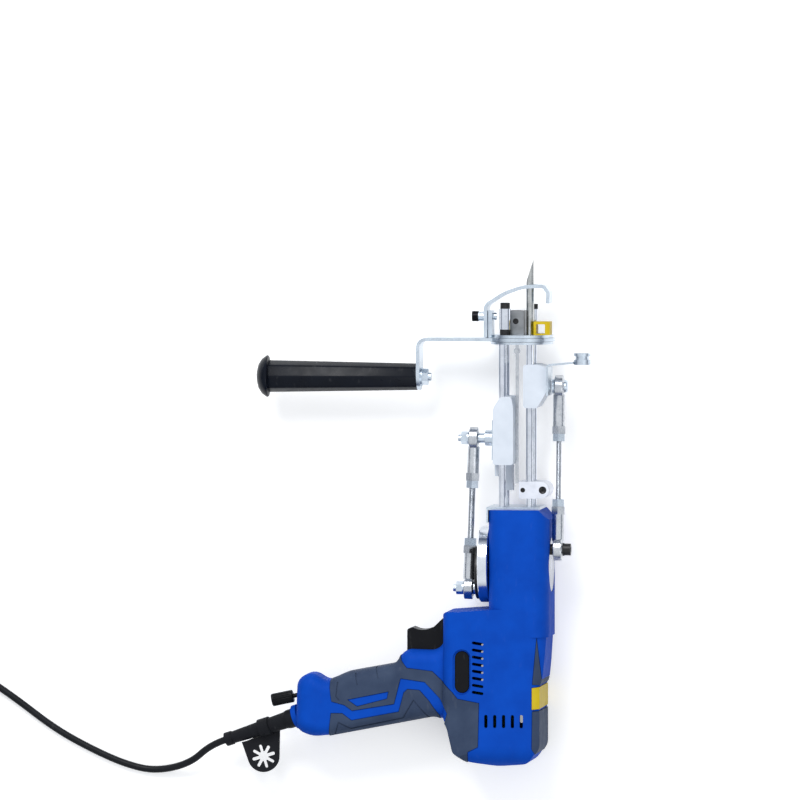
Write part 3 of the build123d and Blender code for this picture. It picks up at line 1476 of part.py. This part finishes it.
parts = {
    "housing_front": front_shell,
    "housing_back": back_shell,
    "grip_skin_front": grip_front,
    "grip_skin_back": grip_back,
    "spine_skins": [bumper, *inlays.solids()],
    "yellow_tab": tab,
    "top_plate": top_plate(),
    "gearbox_frame": gearbox_frame(),
    "shaft_bearings": shaft_bearings(),
    "motor_can": motor_can(),
    "motor_rotor": rotor(),
    "bevel_pinion": bevel_pinion(),
    "driven_gear": driven_gear(),
    "crank_shaft": crank_shaft(),
    "left_crank_disc": left_crank_disc(),
    "stroke_plate": stroke_plate(),
    "left_crank_pin": left_crank_pin(),
    "right_crank_disc": right_crank_disc(),
    "right_crank_pin": right_crank_pin(),
    "left_rod_ends": placed(left_rod_place(), left_ends),
    "left_threaded_rod": placed(left_rod_place(), left_thread),
    "left_lock_nuts": placed(left_rod_place(), left_nuts),
    "left_stud": left_stud(),
    "right_rod_ends": placed(right_rod_place(), right_ends),
    "right_threaded_rod": placed(right_rod_place(), right_thread),
    "right_lock_nuts": placed(right_rod_place(), right_nuts),
    "right_stud": right_stud(),
    "scissor_slider": scissor_slider(),
    "side_plate": side_plate(),
    "scissor_bar": scissor_bar(),
    "scissor_blade": scissor_blade(),
    "needle_slider": needle_slider(),
    "needle": needle(),
    "yarn_eye": yarn_eye(),
    "guide_rods": guide_rods(),
    "lower_plate": lower_plate(),
    "grip_bracket": grip_bracket(),
    "upper_plate": upper_plate(),
    "side_grip": side_grip(),
    "grip_bolt": grip_bolt(),
    "clamp_block": clamp_block(),
    "needle_guide": needle_guide(),
    "pillars": pillars(),
    "head_screws": head_screws(),
    "yarn_window": yarn_window(),
    "presser_foot": presser_foot(),
    "foot_screw": foot_screw(),
    "trigger": trigger(),
    "switch_body": switch_body(),
    "direction_rocker": direction_rocker(),
    "speed_knob": speed_knob(),
    "speed_control": speed_control(),
    "housing_screws": housing_screws(),
    "control_board": control_board(),
    "strain_relief": strain_relief(),
    "key_holder": key_holder(),
    "power_cord": lead,
    "cord_coil": coil,
    "cord_tie": tie,
    "dc_socket": socket,
}
cord_names = ["power_cord", "cord_coil", "cord_tie", "dc_socket"]


def solids_of(piece):
    pieces = piece if isinstance(piece, list) else [piece]
    return [solid for one in pieces for solid in one.solids()]


# The origin is under the middle of the machine, without its cord, on the table.
box = Compound(children=[solid for name, piece in parts.items() if name not in cord_names
                         for solid in solids_of(piece)]).bounding_box()
shift = Pos(-(box.min.X + box.max.X) / 2, -(box.min.Y + box.max.Y) / 2, -box.min.Z)
print("shift", tuple(shift.position), "size", tuple(box.size))
for name, piece in parts.items():
    moved = [shift * solid for solid in solids_of(piece)]
    export_step(moved[0] if len(moved) == 1 else Compound(children=moved), f"parts/{name}.step")
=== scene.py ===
import bmesh
import bpy
from math import cos, pi, sin, sqrt
from mathutils import Matrix, Vector


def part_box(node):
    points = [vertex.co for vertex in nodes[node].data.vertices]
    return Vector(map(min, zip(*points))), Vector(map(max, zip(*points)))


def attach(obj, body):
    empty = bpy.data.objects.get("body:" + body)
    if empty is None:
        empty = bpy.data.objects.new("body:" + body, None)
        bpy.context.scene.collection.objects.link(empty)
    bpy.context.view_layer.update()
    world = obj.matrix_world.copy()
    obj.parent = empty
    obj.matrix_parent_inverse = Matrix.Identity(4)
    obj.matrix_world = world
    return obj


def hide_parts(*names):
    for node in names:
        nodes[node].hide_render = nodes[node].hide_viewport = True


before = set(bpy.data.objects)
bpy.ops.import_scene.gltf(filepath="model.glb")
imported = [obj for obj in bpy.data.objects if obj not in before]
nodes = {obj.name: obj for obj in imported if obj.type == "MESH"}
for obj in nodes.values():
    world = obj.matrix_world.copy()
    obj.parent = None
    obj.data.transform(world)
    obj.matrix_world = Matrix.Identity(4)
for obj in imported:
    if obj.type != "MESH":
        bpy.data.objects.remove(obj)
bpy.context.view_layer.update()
MM = 0.001

# Datum: the barrel's centre line, the outer face of the top plate and the plane where the two
# housing halves meet. Points given in millimetres are measured from it.
frame_low, frame_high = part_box("gearbox_frame")
plate_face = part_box("top_plate")[1][1]
datum = Vector(((frame_low[0] + frame_high[0]) / 2, plate_face, (frame_low[2] + frame_high[2]) / 2))


def at(x, y, z):
    return datum + Vector((x, y, z)) * MM


# Camera: almost straight down, from far away, leaning a little to the right and to the needle
camera_distance = 9.0
camera_reach = 20.0
picture_width = 0.568
picture_centre = at(-87.1, 74.7, 0)
towards_camera = Vector((0.12, 0.04, 0.992)).normalized()
sensor_width = 36.0

camera_data = bpy.data.cameras.new("camera")
camera_data.sensor_width = sensor_width
camera_data.lens = sensor_width * camera_distance / picture_width
camera_data.clip_end = camera_reach
camera = bpy.data.objects.new("camera", camera_data)
across = Vector((0, 1, 0)).cross(towards_camera).normalized()
upward = towards_camera.cross(across)
camera.matrix_world = Matrix.Translation(picture_centre + towards_camera * camera_distance) @ Matrix(
    (across, upward, towards_camera)).transposed().to_4x4()
bpy.context.scene.collection.objects.link(camera)
bpy.context.scene.camera = camera
bpy.context.scene.view_settings.view_transform = "Standard"

# Sockets of a Mix node that mixes colours
mix_share = 0
mix_first = 6
mix_second = 7
mix_result = 2


class Field:
    """A shader socket that can be added and multiplied."""

    def __init__(self, shading, socket):
        self.shading = shading
        self.socket = socket

    def math(self, operation, first, second):
        return self.shading.node("ShaderNodeMath", {"operation": operation}, {0: first, 1: second})

    def __add__(self, other):
        return self.math("ADD", self, other)

    def __radd__(self, other):
        return self.math("ADD", other, self)

    def __mul__(self, other):
        return self.math("MULTIPLY", self, other)

    def __rmul__(self, other):
        return self.math("MULTIPLY", other, self)


class Shading:
    """A node tree whose nodes are all made by one method."""

    def __init__(self, tree):
        self.tree = tree

    def node(self, kind, settings=None, values=None, output=0):
        """Adds a node: first its settings, a ramp's stops among them, then what goes into its sockets."""
        made = self.tree.nodes.new(kind)
        for key, value in (settings or {}).items():
            if key == "stops":
                for element, (place, colour) in zip(made.color_ramp.elements, value):
                    element.position = place
                    element.color = (*colour, 1)
            else:
                setattr(made, key, value)
        for key, value in (values or {}).items():
            self.feed(made.inputs[key], value)
        return Field(self, made.outputs[output])

    def feed(self, socket, value):
        if isinstance(value, Field):
            self.tree.links.new(value.socket, socket)
        elif hasattr(value, "__len__") and len(value) == 3 and socket.type == "RGBA":
            socket.default_value = (*value, 1)
        else:
            socket.default_value = value


class Finish(Shading):
    """A material that is built up from its surface shader."""

    def __init__(self, name, metallic=0.0, specular=0.5):
        self.material = bpy.data.materials.new(name)
        self.material.use_nodes = True
        super().__init__(self.material.node_tree)
        self.surface = self.tree.nodes["Principled BSDF"]
        self.set("Metallic", metallic)
        self.set("Specular IOR Level", specular)

    def set(self, name, value):
        self.feed(self.surface.inputs[name], value)

    def here(self):
        """Object coordinates."""
        return self.node("ShaderNodeTexCoord", output="Object")

    def noise(self, size, detail=2.0, stretch=(1, 1, 1)):
        """Smooth noise from 0 to 1 with spots about size metres across, longer where the stretch is small."""
        place = self.node("ShaderNodeMapping", values={"Vector": self.here(), "Scale": stretch})
        return self.node("ShaderNodeTexNoise", values={"Vector": place, "Scale": 1 / size, "Detail": detail})

    def spread(self, value, low, high, start=0.3, end=0.7):
        """Maps a value's range from start to end onto the range from low to high, and no further."""
        return self.node("ShaderNodeMapRange", {"clamp": True}, {
            "Value": value, "From Min": start, "From Max": end, "To Min": low, "To Max": high})

    def height(self, axis):
        """The place along one of the part's axes, in metres."""
        return self.node("ShaderNodeSeparateXYZ", values={0: self.here()}, output=axis)

    def band(self, value, middle, half):
        """1 where a value is within half of the middle, and 0 elsewhere."""
        return self.node("ShaderNodeMath", {"operation": "COMPARE"}, {0: value, 1: middle, 2: half})

    def blend(self, share, first, second):
        return self.node("ShaderNodeMix", {"data_type": "RGBA"}, {
            mix_share: share, mix_first: first, mix_second: second}, output=mix_result)

    def bump(self, height, depth):
        self.set("Normal", self.node("ShaderNodeBump", values={"Height": height, "Distance": depth}))


# Plastic and rubber: clouds of colour, scuffs and dull patches
cloud_size = 14 * MM
scuff_size = 3 * MM
scuff_stretch = (1, 0.3, 1)
scuff_start = 0.62
scuff_end = 0.74
scuff_paleness = 0.25
patch_size = 6 * MM
patch_gloss = -0.05
patch_dullness = 0.07


def moulded(name, light, dark, roughness, grain=0.35 * MM, depth=0.02 * MM, specular=0.2, scuffs=0.06):
    """Moulded plastic with a spark-eroded grain, faint clouds of colour, dull patches and fine scuffs."""
    finish = Finish(name, specular=specular)
    clouds = finish.spread(finish.noise(cloud_size, 3), 0, 1)
    scuffed = finish.spread(finish.noise(scuff_size, 6, scuff_stretch), 0, scuffs, scuff_start, scuff_end)
    pale = tuple(scuff_paleness + (1 - scuff_paleness) * part for part in light)
    finish.set("Base Color", finish.blend(scuffed, finish.blend(clouds, light, dark), pale))
    dull = finish.spread(finish.noise(patch_size, 4), patch_gloss, patch_dullness)
    finish.set("Roughness", dull + roughness)
    finish.bump(finish.noise(grain, 2), depth)
    return finish.material


# Metal: stains, and the roughness that tool marks add
stain_size = 7 * MM
stain_start = -0.4
mark_roughness = 0.10


def metal(name, colour, dark, roughness, stretch=(1, 1, 1), grain=0.5 * MM, depth=0.004 * MM, metallic=1.0,
          bands=(), band_colour=(0.02, 0.022, 0.03)):
    """Metal with fine tool marks, which run along the axis whose stretch is small, and a few stained places.

    Each of the bands is a stripe of another colour: (axis, middle, half of its width)."""
    finish = Finish(name, metallic=metallic)
    marks = finish.spread(finish.noise(grain, 3, stretch), 0, 1)
    stains = finish.spread(finish.noise(stain_size, 4), stain_start, 1)
    surface_colour = finish.blend(stains, colour, dark)
    for axis, middle, half in bands:
        inside = finish.band(finish.height(axis), middle, half)
        surface_colour = finish.blend(inside, surface_colour, band_colour)
    finish.set("Base Color", surface_colour)
    finish.set("Roughness", marks * mark_roughness + roughness)
    finish.bump(marks, depth)
    return finish.material


blue_shell = moulded("blue_shell", (0.0022, 0.066, 0.46), (0.0018, 0.055, 0.40), 0.58, specular=0.06,
                     scuffs=0.02)
grey_skin = moulded("grey_skin", (0.044, 0.066, 0.118), (0.031, 0.048, 0.092), 0.60, 0.5 * MM, 0.04 * MM, 0.1)
yellow_trim = moulded("yellow_trim", (0.60, 0.45, 0.018), (0.52, 0.37, 0.012), 0.42, specular=0.1)
black_plastic = moulded("black_plastic", (0.0045, 0.005, 0.0065), (0.003, 0.0034, 0.005), 0.38, 0.3 * MM,
                        specular=0.12)
black_grip = moulded("black_grip", (0.0045, 0.0065, 0.012), (0.003, 0.0042, 0.008), 0.30, 0.6 * MM, 0.012 * MM,
                     0.12)
black_rubber = moulded("black_rubber", (0.008, 0.009, 0.012), (0.005, 0.0055, 0.008), 0.60, 0.4 * MM, 0.03 * MM,
                       0.15)
cord_sheath = moulded("cord_sheath", (0.007, 0.008, 0.011), (0.004, 0.005, 0.007), 0.44, 0.8 * MM,
                      specular=0.18)
white_nylon = moulded("white_nylon", (0.66, 0.71, 0.78), (0.58, 0.63, 0.70), 0.42, 0.9 * MM, 0.02 * MM, 0.3)
board_green = moulded("board_green", (0.01, 0.12, 0.05), (0.008, 0.09, 0.04), 0.35)

# Zinc plating, also with the dark joints between the stacked plates and with the black head of the foot's screw
zinc_light = (0.60, 0.67, 0.74)
zinc_dark = (0.50, 0.56, 0.63)
zinc_depth = 0.0025 * MM
wide_joint = ("Y", at(0, 117.0, 0).y, 0.3 * MM)
fine_joint = ("Y", at(0, 119.4, 0).y, 0.18 * MM)
screw_head = ("X", at(-36.0, 0, 0).x, 5.2 * MM)
head_black = (0.010, 0.010, 0.012)

zinc_plate = metal("zinc_plate", zinc_light, zinc_dark, 0.24, depth=zinc_depth)
stacked_zinc = metal("stacked_zinc", zinc_light, zinc_dark, 0.24, depth=zinc_depth,
                     bands=[wide_joint, fine_joint])
black_headed = metal("black_headed", zinc_light, zinc_dark, 0.30, depth=zinc_depth, bands=[screw_head],
                     band_colour=head_black)
polished_rod = metal("polished_rod", (0.70, 0.73, 0.79), (0.60, 0.63, 0.69), 0.08, (1, 0.05, 1), 0.3 * MM,
                     0.002 * MM)
polished_disc = metal("polished_disc", (0.74, 0.77, 0.82), (0.66, 0.69, 0.74), 0.12, (0.1, 1, 1), 0.3 * MM,
                      0.002 * MM)
turned_steel = metal("turned_steel", (0.58, 0.60, 0.63), (0.44, 0.46, 0.49), 0.20, (1, 0.2, 1))
needle_steel = metal("needle_steel", (0.52, 0.53, 0.52), (0.40, 0.41, 0.40), 0.20, (1, 0.04, 1), 0.2 * MM)
machined_block = metal("machined_block", (0.26, 0.27, 0.28), (0.19, 0.20, 0.21), 0.30, (1, 0.1, 1), 0.4 * MM)
cast_block = metal("cast_block", (0.72, 0.74, 0.80), (0.62, 0.64, 0.70), 0.42, grain=0.4 * MM)
blackened = metal("blackened", (0.012, 0.012, 0.014), (0.006, 0.006, 0.007), 0.36, grain=0.6 * MM, metallic=0.3)
brass = metal("brass", (0.72, 0.50, 0.18), (0.55, 0.36, 0.12), 0.25)
core_iron = metal("core_iron", (0.30, 0.24, 0.20), (0.20, 0.16, 0.13), 0.40, (1, 8, 1), 0.6 * MM)

finishes = {
    "housing_front": blue_shell, "housing_back": blue_shell,
    "grip_skin_front": grey_skin, "grip_skin_back": grey_skin, "spine_skins": grey_skin,
    "yellow_tab": yellow_trim, "yarn_window": yellow_trim,
    "trigger": black_plastic, "direction_rocker": black_plastic, "speed_knob": black_plastic,
    "switch_body": black_plastic, "speed_control": black_plastic, "dc_socket": black_plastic,
    "cord_tie": black_plastic, "side_grip": black_grip,
    "strain_relief": black_rubber, "key_holder": black_rubber,
    "scissor_slider": white_nylon, "needle_slider": white_nylon, "control_board": board_green,
    "lower_plate": stacked_zinc, "upper_plate": stacked_zinc, "foot_screw": black_headed,
    "grip_bracket": zinc_plate, "presser_foot": zinc_plate, "top_plate": zinc_plate, "yarn_eye": zinc_plate,
    "side_plate": zinc_plate, "grip_bolt": zinc_plate, "left_stud": zinc_plate, "right_stud": zinc_plate,
    "left_crank_pin": zinc_plate, "left_lock_nuts": zinc_plate, "right_lock_nuts": zinc_plate,
    "guide_rods": polished_rod, "crank_shaft": polished_rod, "pillars": polished_rod,
    "left_crank_disc": polished_disc,
    "left_rod_ends": turned_steel, "right_rod_ends": turned_steel, "left_threaded_rod": turned_steel,
    "right_threaded_rod": turned_steel, "scissor_bar": turned_steel, "scissor_blade": turned_steel,
    "shaft_bearings": turned_steel, "motor_can": turned_steel, "right_crank_disc": turned_steel,
    "needle": needle_steel, "needle_guide": machined_block, "gearbox_frame": machined_block,
    "clamp_block": cast_block,
    "stroke_plate": blackened, "right_crank_pin": blackened, "head_screws": blackened,
    "housing_screws": blackened,
    "driven_gear": brass, "bevel_pinion": brass, "motor_rotor": core_iron,
}
for name, material in finishes.items():
    for slot in nodes[name].material_slots:
        slot.material = material


# Cord, in metres
cord_radius = 2.5 * MM
cord_sides = 4
cord_steps = 8

# Its route, then a neat coil and a tail of what the picture doesn't show, in millimetres. The tail's bends are
# shares of its run and of its drop.
cord_route = [
    (-213.1, -168.5, -11.06), (-224.7, -172.4, -13.57), (-240.6, -186.6, -21.99), (-266.1, -192.7, -28.0),
    (-287.7, -188.1, -28.0), (-313.7, -176.7, -28.0), (-339.6, -162.5, -28.0), (-366.9, -141.8, -28.0),
    (-391.8, -125.0, -27.66), (-416.5, -109.8, -27.0),
]
coil_radius = 28.5
coil_step = 2.8
coil_layer = 5.6
coil_loops = 3
coil_layers = 4
points_a_half_turn = 8
tail_radius = 30.0
tail_bends = [(0.0, 0.0), (0.45, 0.0), (1.0, 0.5), (1.55, 1.0), (2.0, 1.0)]
socket_rest = 4.9
floor_z = -30.6


def coil_points():
    """The coil's half turns, which step in and out and climb a layer where they turn back, and its tail."""
    ahead = (Vector(cord_route[-1]) - Vector(cord_route[-2])).normalized()
    side = Vector((-ahead.y, ahead.x, 0))
    turns = []
    for layer in range(coil_layers):
        steps = list(range(coil_loops))
        climb = coil_radius - coil_loops * coil_step
        if layer % 2 == 1:
            steps.reverse()
            climb = coil_radius + coil_step
        turns += [(coil_radius - step * coil_step, 0) for step in steps]
        if layer < coil_layers - 1:
            turns.append((climb, coil_layer))
    turns.append((coil_radius + 2 * coil_step, 0))
    spot = Vector(cord_route[-1])
    points = []
    for radius, rise in turns:
        middle = spot + side * radius
        reach = radius / cos(pi / points_a_half_turn / 2)
        for index in range(points_a_half_turn):
            turn = pi * (index + 0.5) / points_a_half_turn
            lift = Vector((0, 0, rise * (1 - cos(turn)) / 2))
            points.append(middle - side * (reach * cos(turn)) + ahead * (reach * sin(turn)) + lift)
        spot = spot + side * (2 * radius) + Vector((0, 0, rise))
        ahead = ahead * -1
        side = side * -1
    drop = spot.z - floor_z - socket_rest
    run = sqrt(tail_radius ** 2 - (tail_radius - drop / 2) ** 2)
    down = Vector((0, 0, -1))
    for share, fall in tail_bends:
        points.append(spot + ahead * (run * share) + down * (drop * fall))
    return points + [points[-1] + ahead * (2 * cord_radius / MM)]


def laid_cord(points):
    """The cord: a round bar along a smooth line that touches each leg between its control points."""
    data = bpy.data.curves.new("cord", "CURVE")
    data.dimensions = "3D"
    data.bevel_depth = cord_radius
    data.bevel_resolution = cord_sides
    data.resolution_u = cord_steps
    data.use_fill_caps = True
    data.materials.append(cord_sheath)
    spline = data.splines.new("NURBS")
    spline.points.add(len(points) - 1)
    for point, place in zip(spline.points, points):
        point.co = (*at(*place), 1)
    spline.order_u = 3
    spline.use_endpoint_u = True
    piece = bpy.data.objects.new("cord", data)
    bpy.context.scene.collection.objects.link(piece)
    return piece


cord = laid_cord(cord_route + coil_points())
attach(cord, "machine")
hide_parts("power_cord", "cord_coil")

# Pieces that are modelled here, in millimetres
crease = pi / 6
same_point = 0.01

# Side grip: along X from the arm to the flange, whose profile is given by radius and height
grip_arm = -74.3
grip_neck = -180.7
grip_across = 91.3
grip_sides = 8
grip_thin = 9.7
grip_thick = 11.6
grip_edge = 1.1
grip_edge_steps = 4
grip_rim = 0.4
grip_rim_steps = 2
rim_angle = pi / 3
flange_steps = 64
flange_line = [(0, 8.8), (4.5, 8.5), (9.0, 7.3), (12.4, 5.0), (14.5, 2.2), (14.9, 1.2), (14.5, 0.5),
               (13.2, 0.1), (10.5, -0.3), (8.5, -0.3), (0, -0.3)]

# Cap screw in the clamp block
cap_place = (16.4, 11.85, 0)
cap_steps = 36
cap_line = [(0, 12.6), (1.35, 12.9), (1.35, 14.9), (2.2, 15.3), (2.6, 14.9), (2.6, 6.0), (0, 6.0)]

# Threaded rods: the line from the lower to the upper ring, and where on it the thread starts and ends
thread_steps = 20
crest_share = 0.18
left_rod = {"start": (-37.8, -58.5, 0), "end": (-34.2, 48, 0), "first": 30.2, "last": 76.4,
            "radius": 2.5, "pitch": 0.8, "depth": 0.46}
right_rod = {"start": (26.8, -30.3, 9.98), "end": (26.8, 85, 0), "first": 30.2, "last": 81.9,
             "radius": 2.0, "pitch": 0.7, "depth": 0.40}


def keep(name, mesh, material, body):
    """Points a mesh's faces outwards and puts it in the scene as a piece that rides on a body."""
    bmesh.ops.recalc_face_normals(mesh, faces=mesh.faces)
    data = bpy.data.meshes.new(name)
    mesh.to_mesh(data)
    mesh.free()
    data.materials.append(material)
    data.shade_smooth()
    data.set_sharp_from_angle(angle=crease)
    piece = bpy.data.objects.new(name, data)
    bpy.context.scene.collection.objects.link(piece)
    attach(piece, body)
    return piece


def turned(mesh, profile, steps, rise=0.0):
    """Spins a line of (radius, height) points round the Z axis; a rise per turn makes a screw of it."""
    line = [mesh.verts.new((radius * MM, 0, height * MM)) for radius, height in profile]
    edges = [mesh.edges.new(pair) for pair in zip(line, line[1:])]
    bmesh.ops.spin(mesh, geom=line + edges, cent=(0, 0, 0), axis=(0, 0, 1), dvec=(0, 0, rise * MM / steps),
                   angle=2 * pi, steps=steps, use_merge=rise == 0)
    bmesh.ops.remove_doubles(mesh, verts=mesh.verts, dist=same_point * MM)


def placed(mesh, turn, foot):
    """Turns a mesh about the origin and moves it to a foot point."""
    bmesh.ops.transform(mesh, matrix=Matrix.Translation(foot) @ turn, verts=mesh.verts)


def rounded(mesh, edges, width, segments):
    """Rounds some edges of a mesh."""
    bmesh.ops.bevel(mesh, geom=edges, offset=width * MM, segments=segments, profile=0.5, affect="EDGES",
                    material=-1)


def threaded_rod(name, body, start, end, first, last, radius, pitch, depth):
    """A rod with a cut thread, from first to last along the line between two points."""
    mesh = bmesh.new()
    root = radius - depth
    flat = crest_share * pitch
    profile = []
    height = first
    while height + pitch <= last - pitch:
        crest = height + pitch / 2
        profile += [(root, height), (radius, crest - flat / 2), (radius, crest + flat / 2)]
        height += pitch
    profile.append((root, height))
    turned(mesh, profile, thread_steps, pitch)
    bmesh.ops.holes_fill(mesh, edges=[edge for edge in mesh.edges if edge.is_boundary], sides=0)
    line = at(*end) - at(*start)
    placed(mesh, line.to_track_quat("Z", "Y").to_matrix().to_4x4(), at(*start))
    piece = keep(name, mesh, turned_steel, body)
    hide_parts(name)


def eight_sided_grip():
    """The side grip: eight flats with rounded edges, thinner at the arm, and a domed flange at its end."""
    mesh = bmesh.new()
    length = grip_arm - grip_neck
    bmesh.ops.create_cone(mesh, cap_ends=True, segments=grip_sides, radius1=grip_thick * MM,
                          radius2=grip_thin * MM, depth=length * MM)
    long_edges = [edge for edge in mesh.edges
                  if abs((edge.verts[0].co - edge.verts[1].co).z) > length * MM / 2]
    rounded(mesh, long_edges, grip_edge, grip_edge_steps)
    rims = [edge for edge in mesh.edges if edge.is_manifold and edge.calc_face_angle() > rim_angle]
    rounded(mesh, rims, grip_rim, grip_rim_steps)
    placed(mesh, Matrix.Rotation(pi / 2, 4, "Y"), at((grip_arm + grip_neck) / 2, grip_across, 0))
    flange = bmesh.new()
    turned(flange, flange_line, flange_steps)
    placed(flange, Matrix.Rotation(-pi / 2, 4, "Y"), at(grip_neck, grip_across, 0))
    shell = bpy.data.meshes.new("flange")
    flange.to_mesh(shell)
    flange.free()
    mesh.from_mesh(shell)
    bpy.data.meshes.remove(shell)
    piece = keep("side_grip", mesh, black_grip, "machine")
    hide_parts("side_grip")


def clamp_cap():
    """The black cap screw in the clamp block, with a recess for its key."""
    mesh = bmesh.new()
    turned(mesh, cap_line, cap_steps)
    placed(mesh, Matrix.Identity(4), at(*cap_place))
    piece = keep("clamp_cap", mesh, blackened, "machine")


eight_sided_grip()
clamp_cap()
threaded_rod("left_threaded_rod", "left_tie_rod", **left_rod)
threaded_rod("right_threaded_rod", "right_tie_rod", **right_rod)

# Floor, lamps and world, in metres
floor_half = 3.0
floor_pale = (0.86, 0.86, 0.86)
floor_roughness = 0.9
floor_glow = 0.37
room_stops = [(0.12, (0.07, 0.10, 0.17)), (0.62, (0.93, 0.96, 1.0))]
room_level = 0.72
mirrored_level = 1.0


def stage_floor():
    """A pale floor that is white where it is seen, mirrored or looked at through something."""
    mesh = bmesh.new()
    bmesh.ops.create_grid(mesh, x_segments=1, y_segments=1, size=floor_half)
    data = bpy.data.meshes.new("floor")
    mesh.to_mesh(data)
    mesh.free()
    floor = bpy.data.objects.new("floor", data)
    bpy.context.scene.collection.objects.link(floor)
    finish = Finish("floor_white", specular=0.0)
    finish.set("Base Color", floor_pale)
    finish.set("Roughness", floor_roughness)
    camera_ray, glossy_ray, passing_ray = [
        finish.node("ShaderNodeLightPath", output=ray)
        for ray in ("Is Camera Ray", "Is Glossy Ray", "Is Transmission Ray")]
    finish.set("Emission Color", finish.blend(camera_ray + glossy_ray + passing_ray, (0, 0, 0), (1, 1, 1)))
    finish.set("Emission Strength", floor_glow)
    data.materials.append(finish.material)


def lamp(name, place, size, power):
    """A round soft lamp that points at the origin."""
    data = bpy.data.lights.new(name, "AREA")
    data.shape = "DISK"
    data.size = size
    data.energy = power
    light = bpy.data.objects.new(name, data)
    light.location = place
    light.rotation_euler = (-Vector(place)).to_track_quat("-Z", "Y").to_euler()
    bpy.context.scene.collection.objects.link(light)


def studio_world():
    """A pale ceiling over darker walls, which metal mirrors as light and dark stripes."""
    world = bpy.data.worlds.new("studio")
    bpy.context.scene.world = world
    world.use_nodes = True
    shading = Shading(world.node_tree)
    direction = shading.node("ShaderNodeTexCoord", output="Generated")
    climb = shading.node("ShaderNodeSeparateXYZ", values={0: direction}, output="Z")
    room = shading.node("ShaderNodeValToRGB", {"stops": room_stops}, {0: climb})
    mirrored = shading.node("ShaderNodeLightPath", output="Is Glossy Ray")
    level = shading.node("ShaderNodeMapRange", values={
        "Value": mirrored, "To Min": room_level, "To Max": mirrored_level})
    background = shading.tree.nodes["Background"]
    shading.feed(background.inputs["Color"], room)
    shading.feed(background.inputs["Strength"], level)


stage_floor()
lamp("key", (-0.3, 1.2, 1.25), 0.9, 20)
lamp("fill", (0.9, -0.7, 1.4), 1.2, 7)
studio_world()
